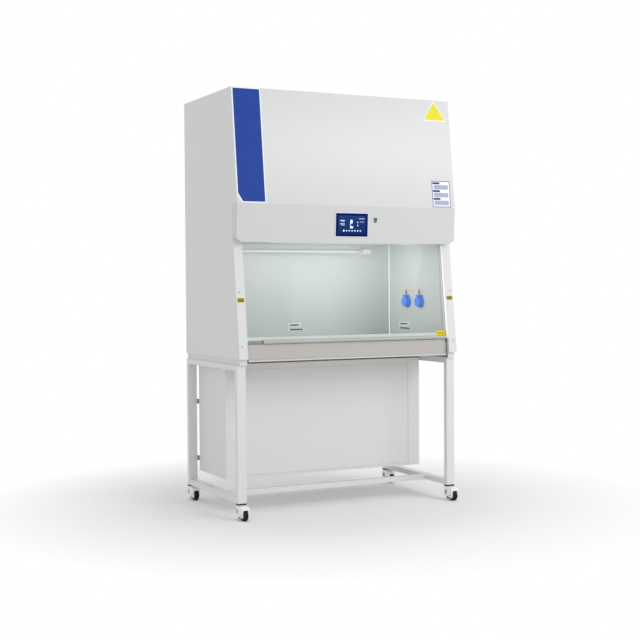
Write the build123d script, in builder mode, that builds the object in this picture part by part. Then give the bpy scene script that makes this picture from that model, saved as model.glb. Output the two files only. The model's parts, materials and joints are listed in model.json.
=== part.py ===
from build123d import *
import os
from math import atan2, cos, degrees, radians, sin, tan

# Class II biosafety cabinet on a castered tube stand. Millimetres, +Z up, -Y to the operator.
# The origin is at floor level, in the middle of the whole footprint.

os.makedirs("parts", exist_ok=True)

# ---- stand and casters ----
stand_overhang = 2          # legs outside the cabinet's sides
tube_wide = 50              # legs and side rails, along X
tube_thin = 30              # legs along Y, rails along Z
tube_wall = 2
leg_length = 729
leg_setback = 34            # front leg behind the foot of the columns
rear_leg_setback = 8        # rear leg in front of the back panel
cross_rail_setback = 233    # lower cross rail behind the front legs' faces
pad_thickness = 8
wheel_diameter = 60
wheel_width = 25
wheel_tread_bevel = 3
caster_trail = 40           # wheel axle ahead of the swivel axis
caster_height = 78.7        # floor to the top of the housing
swivel_gap = 0.3
kingpin_diameter = 14
kingpin_length = 12
axle_diameter = 8
housing_width = 46
wheel_side_gap = 1.2
housing_bottom = 20
housing_rear = 22           # back of the housing behind the swivel axis
housing_nose = 16           # front of its roof ahead of the axle
housing_bevel = 4
housing_edge = 2
wheel_arch_gap = 3
window_low = 36             # thumb ring window in the housing
window_high = 58
window_depth = 26
foot_diameter = 30
foot_offset = 4             # foot axis behind the swivel axis
foot_thickness = 9
foot_lift = 8               # pad above the floor when raised
foot_stem_diameter = 10
thumb_ring_diameter = 28
thumb_ring_height = 9
thumb_ring_facets = 16
thumb_ring_top_gap = 3
thumb_ring_gap = 1.5

# ---- box under the cabinet ----
box_side_gap = 6            # box to the legs
box_depth = 407
box_height = 633
box_wall = 1.5
box_bottom_height = 83      # above the leg ends
box_rear_gap = 48           # box back to the rear leg's outer face
box_cover_side = 76         # margin beside the inset front cover
box_cover_top = 31
box_cover_bottom = 14
cover_gap = 1.5
cover_inset = 1.5
rebate_width = 10
bracket_height = 27
bracket_thickness = 4
bracket_low = 72            # bracket centres above the box floor
bracket_high = 399
bracket_reach = 26          # along the box's back and along the leg's inner face

# ---- cabinet shell ----
cabinet_width = 1340
cabinet_depth = 791         # back panel to the foot of the columns
body_height = 1433
plinth_height = 31
plinth_setback = 16
plinth_inset = 8            # plinth inside the cabinet's sides
roof_setback = 89           # roof's front edge behind the foot of the columns
crease_setback = 16
hood_foot_setback = 29
crease_below_roof = 615
control_panel_height = 203
hood_corner_width = 28
hood_corner_height = 24
sheet = 2
side_pan_depth = 25
edge_return = 25
back_inset = 3              # back panel inside the sides' rear edges
hood_return = 30
hood_lip = 46               # bottom return of the control panel
sash_angle = 7
column_width = 50
column_return = 16          # horizontal depth of the column's outer wall
throat_depth = 45           # column face to the front edge of the liner

# ---- chamber ----
liner_sheet = 1.5
liner_corner = 8
chamber_back_depth = 110    # back panel to the chamber's back wall
ceiling_above_hood_foot = 16
pan_height = 58
pan_lip = 12
deck_height = 75            # work surface above the underside of the body
deck_joint = 149            # work surface's front edge behind the foot of the columns
slot_length = 26
slot_width = 6
slot_pitch = 30
side_slot_height = 9
side_slot_width = 4
side_slot_pitch = 15
side_slot_count = 18
side_slot_start = 118       # first side slot above the underside
side_slot_edge = 12
fascia_setback = 27
fascia_lip = 5
fascia_lip_height = 10
fascia_drop = 15            # lip's foot below the cabinet's underside
fascia_end_gap = 10
armrest_left = 95           # armrest end to the column, operator's left
armrest_right = 12
armrest_height = 18
armrest_depth = 22
armrest_foot = 4
armrest_ahead = 12          # armrest front ahead of the fascia
armrest_round = 8

# ---- sash and its belt drive ----
glass_thickness = 6
glass_setback = 24          # glass face behind the column face
glass_length = 565
glass_start = 101           # lower edge of the glass, up the slope
glass_bite = 12             # glass edge inside the column
guide_gap = 0.4
guide_wall = 7
guide_top_margin = 60
sash_travel = 460
edge_rail_height = 18
edge_rail_wall = 1.5
hanger_width = 26
hanger_height = 46
hanger_grip = 14
hanger_plate = 3
hanger_neck = 10            # up the slope from the grip to the sloping web
belt_width = 12
belt_thickness = 2
belt_inset = 20             # belt centre line inside the chamber width
belt_setback = 60           # pulley axis behind the column face
pulley_diameter = 34
pulley_width = 14
idler_start = 668           # idler axis up the slope
drive_above_idler = 525
drive_shaft_diameter = 16
tube_motor_diameter = 32    # motor tube that turns with the shaft
tube_motor_length = 160
idler_pin_diameter = 10
bearing_size = 28
running_gap = 0.05          # radial, shafts in bores

# ---- air system ----
filter_height = 90
filter_frame = 18
filter_recess = 6
filter_side_gap = 30        # supply filter to the liner
filter_front_gap = 100      # supply filter behind the liner's front edge
filter_rear_gap = 6
plenum_height = 560
exhaust_filter_width = 640
exhaust_filter_depth = 390
exhaust_filter_height = 90
exhaust_slot_count = 22
exhaust_slot_width = 12
exhaust_slot_length = 330
exhaust_slot_pitch = 28
diffuser_slot_count = 20
diffuser_slot_width = 16
diffuser_slot_margin = 36
diffuser_slot_pitch = 57
scroll_radius = 185
scroll_width = 200
scroll_throat = 150
inlet_diameter = 230
impeller_diameter = 300
impeller_width = 130
impeller_start = 38         # back plate behind the scroll's front wall
impeller_plate = 3
blade_count = 24
blade_thickness = 2
blade_chord = 52
blade_angle = 35
hub_diameter = 50
hub_length = 30
motor_diameter = 118
motor_length = 110
motor_inside = 30           # part of the motor within the scroll
motor_end_bevel = 6
motor_flange_width = 14
motor_flange = 5
motor_shaft_length = 34
motor_shaft_diameter = 12

# ---- lamps, sockets, controls ----
tube_diameter = 16
tube_length = 830
lamp_holder_length = 46
lamp_holder_height = 36
lamp_holder_depth = 52
lamp_below_ceiling = 45
hood_light_length = 900
hood_light_height = 26
hood_light_depth = 30
screen_width = 205
screen_height = 134
screen_proud = 4
screen_body = 12
screen_bezel = 5.5          # bezel beyond the opening in the panel
screen_offset = 7
screen_rise = -2
button_width = 20
button_height = 15
button_proud = 4
button_length = 12
button_flange = 2
button_flange_width = 2.5
button_offset = 155
button_rise = 30
button_gap = 0.4
socket_width = 70
socket_height = 78
socket_top = 44             # width of the plate's narrow upper end
socket_plate = 8
socket_ring_diameter = 54
socket_ring_depth = 14
well_diameter = 40
well_depth = 14
socket_height_above_deck = 214
socket_front_y = -77
socket_rear_y = 73
lid_thickness = 8
lid_gap = 0.4
hinge_pin_diameter = 4
knuckle_diameter = 9
knuckle_length = 22
inlet_width = 50
inlet_height = 28
inlet_body = 26
inlet_gap = 0.3             # inlet in the panel's opening
inlet_wall = 3
inlet_rim = (7, 4)          # rim round the recess, at the sides and above
inlet_pin_length = 18
inlet_pin_pitch = 10
inlet_side = 120            # power inlet in from the panel's side
inlet_below_roof = 90

# ---- places worked out from the sizes ----
wheel_radius = wheel_diameter / 2
overhang = caster_trail + wheel_radius - leg_setback - tube_thin / 2
footprint_depth = cabinet_depth + max(overhang, 0)
y_back = footprint_depth / 2
y_foot = y_back - cabinet_depth
y_rear = y_back - back_inset
half = cabinet_width / 2
stand_width = cabinet_width + 2 * stand_overhang
box_width = stand_width - 2 * tube_wide - 2 * box_side_gap
x_inner = half - column_width
x_pan = half - side_pan_depth

z_pad = caster_height + swivel_gap
z_leg = z_pad + pad_thickness
z_stand = z_leg + leg_length
z_body = z_stand + plinth_height
z_roof = z_body + body_height
z_crease = z_roof - crease_below_roof
z_hood = z_crease - control_panel_height
z_ceiling = z_hood + ceiling_above_hood_foot
z_deck = z_body + deck_height
z_pan = z_body + pan_height

slope = radians(sash_angle)


def column_face(z):
    """Y of the columns' front face at a height."""
    return y_foot + (z - z_body) * tan(slope)


y_roof = y_foot + roof_setback
y_crease = y_foot + crease_setback
y_hood = y_foot + hood_foot_setback
y_seam = column_face(z_hood) + column_return
y_chamber = y_back - chamber_back_depth
y_filter_front = column_face(z_ceiling) + throat_depth + filter_front_gap
y_fascia = y_foot + fascia_setback
y_deck_front = y_foot + deck_joint
y_leg_front = y_foot + leg_setback
y_leg_rear = y_back - rear_leg_setback

sash_plane = Plane(origin=(0, y_foot, z_body), x_dir=(1, 0, 0), z_dir=(0, sin(slope), cos(slope)))
return_depth = column_return * cos(slope)
throat = throat_depth * cos(slope)
column_lip = (fascia_setback + sheet - pan_height * tan(slope)) * cos(slope) - 0.5


def finish(piece, name):
    """Label a finished piece and write it to its own file."""
    piece.part.label = name
    export_step(piece.part, f"parts/{name}.step")


def prism(points, x_from, x_to, mode=Mode.ADD):
    """Extrude a side outline, given as (y, z) points, from x_from to x_to."""
    with BuildSketch(Plane.YZ.offset(x_from)) as outline:
        with BuildLine():
            Polyline(*points, close=True)
        make_face()
    extrude(outline.sketch, amount=x_to - x_from, mode=mode)


def block(x, y, z, mode=Mode.ADD):
    """A rectangular block between the given limits on each axis."""
    with BuildSketch(Plane.XY.offset(z[0])) as outline:
        with Locations(((x[0] + x[1]) / 2, (y[0] + y[1]) / 2)):
            Rectangle(abs(x[1] - x[0]), abs(y[1] - y[0]))
    extrude(outline.sketch, amount=z[1] - z[0], mode=mode)


# ==== stand ====
leg_x = stand_width / 2 - tube_wide / 2
rail_y = (y_leg_front + tube_thin, y_leg_rear - tube_thin)
leg_bores = (tube_wide - 2 * tube_wall, tube_thin - 2 * tube_wall)
leg_ys = (y_leg_front + tube_thin / 2, y_leg_rear - tube_thin / 2)

for side, name in ((-1, "stand_frame_left"), (1, "stand_frame_right")):
    with BuildPart() as frame:
        with BuildSketch(Plane.YZ.offset(side * leg_x - tube_wide / 2)):
            with Locations(((y_leg_front + y_leg_rear) / 2, (z_leg + z_stand) / 2)):
                Rectangle(y_leg_rear - y_leg_front, leg_length)
                Rectangle(rail_y[1] - rail_y[0], leg_length - 2 * tube_thin, mode=Mode.SUBTRACT)
        extrude(amount=tube_wide)
        with BuildSketch(Plane.XY.offset(z_leg)):
            with Locations(*[(side * leg_x, y) for y in leg_ys]):
                Rectangle(*leg_bores)
        extrude(amount=leg_length - tube_wall, mode=Mode.SUBTRACT)
        for rail_z in (z_leg + tube_thin / 2, z_stand - tube_thin / 2):
            with BuildSketch(Plane.XZ.offset(-leg_ys[0])):
                with Locations((side * leg_x, rail_z)):
                    Rectangle(*leg_bores)
            extrude(amount=leg_ys[0] - leg_ys[1], mode=Mode.SUBTRACT)
    finish(frame, name)

cross_length = stand_width - 2 * tube_wide
with BuildPart() as cross_rails:
    for y, z in (
        (y_leg_front + cross_rail_setback + tube_thin / 2, z_leg + tube_thin / 2),
        (y_leg_rear - tube_thin / 2, z_stand - tube_thin / 2),
    ):
        with BuildSketch(Plane.YZ.offset(-cross_length / 2)):
            with Locations((y, z)):
                Rectangle(tube_thin, tube_thin)
                Rectangle(tube_thin - 2 * tube_wall, tube_thin - 2 * tube_wall, mode=Mode.SUBTRACT)
        extrude(amount=cross_length)
finish(cross_rails, "stand_cross_rails")

corners = {
    "front_left": (-leg_x, leg_ys[0]),
    "front_right": (leg_x, leg_ys[0]),
    "rear_left": (-leg_x, leg_ys[1]),
    "rear_right": (leg_x, leg_ys[1]),
}

with BuildPart() as pads:
    with BuildSketch(Plane.XY.offset(z_pad)):
        with Locations(*corners.values()):
            Rectangle(tube_wide, tube_thin)
    extrude(amount=pad_thickness)
    with BuildSketch(Plane.XY.offset(z_pad - kingpin_length)):
        with Locations(*corners.values()):
            Circle(kingpin_diameter / 2)
    extrude(amount=kingpin_length)
finish(pads, "caster_pads")

# ==== casters: housing with two cheeks, wheel, and a screwed foot on the swivel axis ====
cheek_round = wheel_radius * 0.5
for corner, (cx, cy) in corners.items():
    axle_y = cy - caster_trail
    with BuildPart() as housing:
        with BuildSketch(Plane.YZ.offset(cx - housing_width / 2)):
            with BuildLine():
                Polyline(
                    (cy + housing_rear, housing_bottom + housing_bevel),
                    (cy + housing_rear, caster_height - 2 * housing_bevel),
                    (cy + housing_rear - housing_bevel, caster_height),
                    (axle_y + housing_bevel, caster_height),
                    (axle_y - housing_nose, caster_height - 2 * housing_bevel),
                    (axle_y - housing_rear, wheel_diameter + housing_edge),
                    (axle_y - cheek_round, wheel_radius + housing_edge),
                    (axle_y - cheek_round * 0.6, wheel_radius - cheek_round * 0.8),
                    (axle_y + cheek_round * 0.6, wheel_radius - cheek_round * 0.8),
                    (cy - housing_nose, housing_bottom),
                    (cy + housing_rear - housing_bevel, housing_bottom),
                    close=True,
                )
            make_face()
        extrude(amount=housing_width)
        fillet(housing.edges().filter_by(Axis.X).group_by(Axis.Z)[-1], housing_bevel)
        outer_edges = housing.edges().group_by(Axis.X)[0] + housing.edges().group_by(Axis.X)[-1]
        chamfer(outer_edges, housing_edge)
        slot_half = wheel_width / 2 + wheel_side_gap
        with BuildSketch(Plane.YZ.offset(cx - slot_half)):
            with Locations((axle_y, wheel_radius)):
                Circle(wheel_radius + wheel_arch_gap)
            with Locations((axle_y - wheel_diameter / 2, wheel_radius - wheel_arch_gap)):
                Rectangle(wheel_diameter, wheel_diameter)
        extrude(amount=2 * slot_half, mode=Mode.SUBTRACT)
        with BuildSketch(Plane.YZ.offset(cx - housing_width / 2)):
            with Locations((cy + foot_offset, (window_low + window_high) / 2)):
                Rectangle(window_depth, window_high - window_low)
        extrude(amount=housing_width, mode=Mode.SUBTRACT)
        with BuildSketch(Plane.XY.offset(window_low)):
            with Locations((cx, cy + foot_offset)):
                Circle(thumb_ring_diameter / 2 + thumb_ring_gap)
        extrude(amount=window_high - window_low, mode=Mode.SUBTRACT)
        with BuildSketch(Plane.XY):
            with Locations((cx, cy + foot_offset)):
                Circle(foot_stem_diameter / 2 + running_gap)
        extrude(amount=window_high, mode=Mode.SUBTRACT)
        with BuildSketch(Plane.XY.offset(caster_height)):
            with Locations((cx, cy)):
                Circle(kingpin_diameter / 2 + running_gap)
        extrude(amount=-kingpin_length, mode=Mode.SUBTRACT)
        with BuildSketch(Plane.YZ.offset(cx - housing_width / 2)):
            with Locations((axle_y, wheel_radius)):
                Circle(axle_diameter / 2 + running_gap)
        extrude(amount=housing_width, mode=Mode.SUBTRACT)
    finish(housing, f"caster_housing_{corner}")

    with BuildPart() as wheel:
        with BuildSketch(Plane.YZ.offset(cx - wheel_width / 2)):
            with Locations((axle_y, wheel_radius)):
                Circle(wheel_radius)
        extrude(amount=wheel_width)
        chamfer(wheel.edges().filter_by(GeomType.CIRCLE), wheel_tread_bevel)
        with BuildSketch(Plane.YZ.offset(cx - housing_width / 2 + 1)):
            with Locations((axle_y, wheel_radius)):
                Circle(axle_diameter / 2)
        extrude(amount=housing_width - 2)
    finish(wheel, f"caster_wheel_{corner}")

    ring_low = window_high - thumb_ring_top_gap - thumb_ring_height
    with BuildPart() as foot:
        for low, high, diameter in (
            (foot_lift, foot_lift + foot_thickness, foot_diameter),
            (foot_lift + foot_thickness, ring_low, foot_stem_diameter),
        ):
            with BuildSketch(Plane.XY.offset(low)):
                with Locations((cx, cy + foot_offset)):
                    Circle(diameter / 2)
            extrude(amount=high - low)
        chamfer(foot.edges().group_by(Axis.Z)[0], housing_edge)
        # faceted ring, turned by thumb through the housing's windows
        with BuildSketch(Plane.XY.offset(ring_low)):
            with Locations((cx, cy + foot_offset)):
                RegularPolygon(thumb_ring_diameter / 2, thumb_ring_facets)
        extrude(amount=thumb_ring_height)
    finish(foot, f"levelling_foot_{corner}")

# ==== box under the cabinet ====
box_y = (y_leg_rear - box_rear_gap - box_depth, y_leg_rear - box_rear_gap)
box_z = (z_leg + box_bottom_height, z_leg + box_bottom_height + box_height)
cover_x = box_width / 2 - box_cover_side
cover_z = (box_z[0] + box_cover_bottom, box_z[1] - box_cover_top)

with BuildPart() as storage_box:
    block((-box_width / 2, box_width / 2), box_y, box_z)
    offset(amount=-box_wall, openings=storage_box.faces().sort_by(Axis.Y)[0], kind=Kind.INTERSECTION)
    with BuildSketch(Plane.XZ.offset(-box_y[0])):
        with Locations((0, (box_z[0] + box_z[1]) / 2)):
            Rectangle(box_width, box_height)
        with Locations((0, (cover_z[0] + cover_z[1]) / 2)):
            Rectangle(2 * cover_x, cover_z[1] - cover_z[0], mode=Mode.SUBTRACT)
    extrude(amount=-box_wall)
    # rebate that the cover lies in
    with BuildSketch(Plane.XZ.offset(-(box_y[0] + cover_inset + box_wall))):
        with Locations((0, (cover_z[0] + cover_z[1]) / 2)):
            Rectangle(2 * (cover_x + box_wall), cover_z[1] - cover_z[0] + 2 * box_wall)
            Rectangle(
                2 * (cover_x - rebate_width),
                cover_z[1] - cover_z[0] - 2 * rebate_width,
                mode=Mode.SUBTRACT,
            )
    extrude(amount=-box_wall)
    with BuildSketch(Plane.XZ.offset(-box_y[0])):
        with Locations((0, (cover_z[0] + cover_z[1]) / 2)):
            Rectangle(2 * cover_x + 2 * box_wall, cover_z[1] - cover_z[0] + 2 * box_wall)
            Rectangle(2 * cover_x, cover_z[1] - cover_z[0], mode=Mode.SUBTRACT)
    extrude(amount=-(cover_inset + 2 * box_wall))
finish(storage_box, "storage_box")

with BuildPart() as box_cover:
    with BuildSketch(Plane.XZ.offset(-(box_y[0] + cover_inset / 3))):
        with Locations((0, (cover_z[0] + cover_z[1]) / 2)):
            Rectangle(2 * (cover_x - cover_gap), cover_z[1] - cover_z[0] - 2 * cover_gap)
    extrude(amount=-(cover_inset * 2 / 3 + box_wall))
finish(box_cover, "box_cover")

# angle brackets from the box's back to the inner faces of the rear legs
leg_inner = stand_width / 2 - tube_wide
bracket_in = leg_inner - bracket_reach
bracket_rear = rail_y[1] + bracket_reach
with BuildPart() as box_brackets:
    for side in (-1, 1):
        for rise in (bracket_low, bracket_high):
            with BuildSketch(Plane.XY.offset(box_z[0] + rise - bracket_height / 2)):
                with BuildLine():
                    Polyline(
                        (side * bracket_in, box_y[1]),
                        (side * leg_inner, box_y[1]),
                        (side * leg_inner, bracket_rear),
                        (side * (leg_inner - bracket_thickness), bracket_rear),
                        (side * (leg_inner - bracket_thickness), box_y[1] + bracket_thickness),
                        (side * bracket_in, box_y[1] + bracket_thickness),
                        close=True,
                    )
                make_face()
            extrude(amount=bracket_height)
finish(box_brackets, "box_brackets")

# ==== plinth and shell ====
plinth_width = column_width - plinth_inset
with BuildPart() as plinth_rails:
    for side in (-1, 1):
        with BuildSketch(Plane.XZ.offset(-(y_foot + plinth_setback))):
            with Locations((side * (x_inner + plinth_width / 2), z_stand + plinth_height / 2)):
                Rectangle(plinth_width, plinth_height)
            with Locations((side * (x_inner + plinth_width / 2 - sheet), z_stand + plinth_height / 2)):
                Rectangle(plinth_width, plinth_height - 2 * sheet, mode=Mode.SUBTRACT)
        extrude(amount=-(cabinet_depth - plinth_setback))
        cap_x = sorted((side * x_inner, side * (x_inner + plinth_width)))
        block(cap_x, (y_foot + plinth_setback, y_foot + plinth_setback + sheet), (z_stand, z_body))
finish(plinth_rails, "plinth_rails")

side_outline = [
    (y_back, z_body),
    (y_back, z_roof),
    (y_seam, z_roof),
    (y_seam, z_hood),
    (y_foot + column_return, z_body),
]
for side, name in ((-1, "side_panel_left"), (1, "side_panel_right")):
    with BuildPart() as side_panel:
        prism(side_outline, side * x_pan, side * half)
        open_face = side_panel.faces().sort_by(Axis.X)[0 if side > 0 else -1]
        offset(amount=-sheet, openings=open_face, kind=Kind.INTERSECTION)
    finish(side_panel, name)

with BuildPart() as back_panel:
    block((-x_pan, x_pan), (y_rear - edge_return, y_rear), (z_body, z_roof - sheet))
    offset(amount=-sheet, openings=back_panel.faces().sort_by(Axis.Y)[0], kind=Kind.INTERSECTION)
    with BuildSketch(Plane.XZ.offset(-y_rear)):
        with Locations((x_pan - inlet_side, z_roof - inlet_below_roof)):
            RectangleRounded(inlet_width, inlet_height, 3)
    extrude(amount=sheet, both=True, mode=Mode.SUBTRACT)
finish(back_panel, "back_panel")

y_roof_edge = y_seam
exhaust_y = y_chamber - filter_rear_gap - exhaust_filter_depth / 2
with BuildPart() as top_panel:
    block((-x_pan, x_pan), (y_roof_edge, y_back), (z_roof - sheet, z_roof))
    block(
        (-x_pan, x_pan),
        (y_roof_edge, y_roof_edge + sheet),
        (z_roof - edge_return, z_roof),
    )
    with BuildSketch(Plane.XY.offset(z_roof)):
        with Locations((0, exhaust_y)):
            with GridLocations(exhaust_slot_pitch, 0, exhaust_slot_count, 1):
                Rectangle(exhaust_slot_width, exhaust_slot_length)
    extrude(amount=-sheet, mode=Mode.SUBTRACT)
finish(top_panel, "top_panel")

# upper front cover: slopes out from the roof to the crease, open behind
with BuildPart() as upper_cover:
    prism([(y_seam, z_roof), (y_roof, z_roof), (y_crease, z_crease), (y_seam, z_crease)], -half, half)
    prism(
        [
            (y_seam + 1, z_roof - sheet),
            (y_roof + 1.2 * sheet, z_roof - sheet),
            (y_crease + sheet, z_crease + sheet),
            (y_seam + 1, z_crease + sheet),
        ],
        -half + sheet,
        half - sheet,
        Mode.SUBTRACT,
    )
    block(
        (-half + sheet, half - sheet),
        (y_crease + hood_return, y_seam + 1),
        (z_crease - 1, z_crease + 2 * sheet),
        Mode.SUBTRACT,
    )
finish(upper_cover, "upper_front_cover")

# control panel: slopes back in below the crease, corners cut at the foot
panel_tilt = atan2(y_hood - y_crease, control_panel_height)
panel_plane = Plane(
    origin=(0, (y_crease + y_hood) / 2, (z_crease + z_hood) / 2),
    x_dir=(1, 0, 0),
    z_dir=(0, -cos(panel_tilt), -sin(panel_tilt)),
)
with BuildPart() as control_panel:
    prism([(y_seam, z_crease), (y_crease, z_crease), (y_hood, z_hood), (y_seam, z_hood)], -half, half)
    prism(
        [
            (y_seam + 1, z_crease - sheet),
            (y_crease + 1.2 * sheet, z_crease - sheet),
            (y_hood + 1.2 * sheet, z_hood + sheet),
            (y_seam + 1, z_hood + sheet),
        ],
        -half + sheet,
        half - sheet,
        Mode.SUBTRACT,
    )
    for low, reach in ((z_crease - 2 * sheet, y_crease + hood_return), (z_hood - 1, y_hood + hood_lip)):
        block(
            (-half + sheet, half - sheet),
            (reach, y_seam + 1),
            (low, low + 3 * sheet),
            Mode.SUBTRACT,
        )
    for side in (-1, 1):
        with BuildSketch(Plane.XZ.offset(-(y_hood - 1))):
            with BuildLine():
                Polyline(
                    (side * (half + 1), z_hood - 1),
                    (side * (half + 1), z_hood + hood_corner_height),
                    (side * half, z_hood + hood_corner_height),
                    (side * (half - hood_corner_width), z_hood),
                    (side * (half - hood_corner_width), z_hood - 1),
                    close=True,
                )
            make_face()
        extrude(amount=-(y_seam - y_hood + 2), mode=Mode.SUBTRACT)
        # sheet folded across the cut corner
        with BuildSketch(Plane.XZ.offset(-y_hood)):
            with BuildLine():
                Polyline(
                    (side * half, z_hood + hood_corner_height),
                    (side * (half - hood_corner_width), z_hood),
                    (side * (half - hood_corner_width - sheet), z_hood + sheet),
                    (side * (half - sheet), z_hood + hood_corner_height + sheet),
                    close=True,
                )
            make_face()
        extrude(amount=-(y_seam - y_hood))
    with BuildSketch(panel_plane):
        with Locations((screen_offset, screen_rise)):
            opening = 2 * (screen_bezel - button_gap)
            RectangleRounded(screen_width - opening, screen_height - opening, 5)
        with Locations((button_offset, button_rise)):
            RectangleRounded(button_width + 2 * button_gap, button_height + 2 * button_gap, 3)
    extrude(amount=-4 * sheet, mode=Mode.SUBTRACT)
finish(control_panel, "control_panel")

# columns: folded front posts that follow the slope of the sash
for side, name in ((-1, "column_left"), (1, "column_right")):
    with BuildPart() as column:
        with BuildSketch(sash_plane.offset(-column_return)):
            with BuildLine():
                Polyline(
                    (side * x_inner, 0),
                    (side * half, 0),
                    (side * half, return_depth),
                    (side * (half - sheet), return_depth),
                    (side * (half - sheet), sheet),
                    (side * (x_inner + sheet), sheet),
                    (side * (x_inner + sheet), column_lip),
                    (side * x_inner, column_lip),
                    close=True,
                )
            make_face()
        extrude(amount=(z_hood - z_body) + 4 * column_return)
        split(bisect_by=Plane.XY.offset(z_body), keep=Keep.TOP)
        split(bisect_by=Plane.XY.offset(z_hood + hood_corner_height), keep=Keep.BOTTOM)
        # the top meets the hood's underside and its cut corner
        with BuildSketch(Plane.XZ.offset(-y_hood)):
            with BuildLine():
                Polyline(
                    (side * (x_inner - 1), z_hood),
                    (side * (half - hood_corner_width), z_hood),
                    (side * half, z_hood + hood_corner_height),
                    (side * half, z_hood + 2 * hood_corner_height),
                    (side * (x_inner - 1), z_hood + 2 * hood_corner_height),
                    close=True,
                )
            make_face()
        extrude(amount=-(y_seam - y_hood + 1), mode=Mode.SUBTRACT)
        block(
            sorted((side * x_inner, side * half)),
            (y_seam, y_seam + column_return),
            (z_hood, z_hood + 2 * hood_corner_height),
            Mode.SUBTRACT,
        )
    finish(column, name)

# ==== chamber ====
pan_half = x_inner + liner_sheet
with BuildPart() as base_pan:
    block((-pan_half, pan_half), (y_fascia + sheet, y_chamber + liner_sheet), (z_body, z_pan))
    block(
        (-pan_half + sheet, pan_half - sheet),
        (y_fascia + 2 * sheet, y_chamber + liner_sheet - sheet),
        (z_body + sheet, z_pan - sheet),
        Mode.SUBTRACT,
    )
    block(
        (-pan_half + pan_lip, pan_half - pan_lip),
        (y_fascia + sheet + pan_lip, y_chamber + liner_sheet - pan_lip),
        (z_pan - 2 * sheet, z_pan + 1),
        Mode.SUBTRACT,
    )
finish(base_pan, "base_pan")

with BuildPart() as liner:
    with BuildSketch(Plane.XY.offset(z_pan)):
        for inset in (liner_sheet, 0):
            with BuildLine():
                wall = Polyline(
                    (-x_inner - inset, y_foot),
                    (-x_inner - inset, y_chamber + inset),
                    (x_inner + inset, y_chamber + inset),
                    (x_inner + inset, y_foot),
                    close=True,
                )
            make_face(mode=Mode.ADD if inset else Mode.SUBTRACT)
    extrude(amount=z_ceiling - z_pan)
    fillet(liner.edges().filter_by(Axis.Z).group_by(Axis.Y)[-2], liner_corner)
    fillet(liner.edges().filter_by(Axis.Z).group_by(Axis.Y)[-1], liner_corner + liner_sheet)
    split(bisect_by=Plane(sash_plane.origin, x_dir=(1, 0, 0), z_dir=(0, cos(slope), -sin(slope)))
          .offset(throat + 0.3), keep=Keep.TOP)
    # capture slots in both side walls, in a row along the sash
    for step in range(side_slot_count):
        z = z_body + side_slot_start + step * side_slot_pitch
        y = column_face(z) + throat_depth + side_slot_edge
        block(
            (-x_inner - 2 * sheet, x_inner + 2 * sheet),
            (y - side_slot_width / 2, y + side_slot_width / 2),
            (z, z + side_slot_height),
            Mode.SUBTRACT,
        )
finish(liner, "chamber_liner")

deck_edge = 0.5             # deck and grille clear of the liner
deck_half = x_inner - deck_edge
y_deck_rear = y_chamber - deck_edge


def deck_tray(y_range, corner, slot_rows):
    """A tray with turned-down edges that stand on the pan's lip, and rows of slots."""
    for inset, low, high, mode in (
        (0, z_pan, z_deck, Mode.ADD),
        (liner_sheet, z_pan - 1, z_deck - liner_sheet, Mode.SUBTRACT),
    ):
        with BuildSketch(Plane.XY.offset(low)) as outline:
            with Locations((0, sum(y_range) / 2)):
                Rectangle(2 * (deck_half - inset), y_range[1] - y_range[0] - 2 * inset)
            if corner:
                fillet(outline.vertices().group_by(Axis.Y)[-1], corner - inset)
        extrude(outline.sketch, amount=high - low, mode=mode)
    count = int((2 * deck_half - 2 * liner_corner) // slot_pitch)
    with BuildSketch(Plane.XY.offset(z_deck)) as slots:
        for row in slot_rows:
            with Locations((0, row)):
                with GridLocations(slot_pitch, 0, count, 1):
                    Rectangle(slot_width, slot_length)
    extrude(slots.sketch, amount=-2 * liner_sheet, mode=Mode.SUBTRACT)


y_grille = (y_fascia + 12.5, y_deck_front - deck_edge)
with BuildPart() as front_grille:
    deck_tray(y_grille, 0, [y_grille[0] + 30, y_grille[1] - 30])
finish(front_grille, "front_grille")

with BuildPart() as work_surface:
    deck_tray((y_deck_front, y_deck_rear), liner_corner, [y_deck_rear - 28])
finish(work_surface, "work_surface")

fascia_half = x_inner - fascia_end_gap
with BuildPart() as fascia:
    prism(
        [
            (y_fascia + sheet, z_body - fascia_drop),
            (y_fascia - fascia_lip, z_body - fascia_drop),
            (y_fascia - fascia_lip, z_body - fascia_drop + fascia_lip_height),
            (y_fascia, z_body - fascia_drop + fascia_lip_height + 1),
            (y_fascia, z_deck),
            (y_fascia + 12, z_deck),
            (y_fascia + 12, z_deck - sheet),
            (y_fascia + sheet, z_deck - sheet),
        ],
        -fascia_half,
        fascia_half,
    )
finish(fascia, "fascia")

armrest_x = (-x_inner + armrest_left, x_inner - armrest_right)
with BuildPart() as armrest:
    low = z_deck + armrest_foot
    front = y_fascia - armrest_ahead
    prism(
        [
            (front, low),
            (front + armrest_depth, low),
            (front + armrest_depth, low + armrest_height),
            (front, low + armrest_height),
        ],
        *armrest_x,
    )
    fillet(armrest.edges().filter_by(Axis.X).group_by(Axis.Z)[-1], armrest_round)
    offset(amount=-liner_sheet, openings=armrest.faces().sort_by(Axis.Z)[0])
    for x in (armrest_x[0] + 40, (armrest_x[0] + armrest_x[1]) / 2, armrest_x[1] - 40):
        block((x - 15, x + 15), (front + armrest_depth - 9, front + armrest_depth), (z_deck, low + 4))
finish(armrest, "armrest")

# ==== sash ====
glass_half = x_inner + glass_bite
glass_depth = (glass_setback, glass_setback + glass_thickness)
with BuildPart() as sash_glass:
    with BuildSketch(sash_plane.offset(glass_start)):
        with Locations((0, sum(glass_depth) / 2)):
            Rectangle(2 * glass_half, glass_thickness)
    extrude(amount=glass_length)
finish(sash_glass, "sash_glass")

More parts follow.
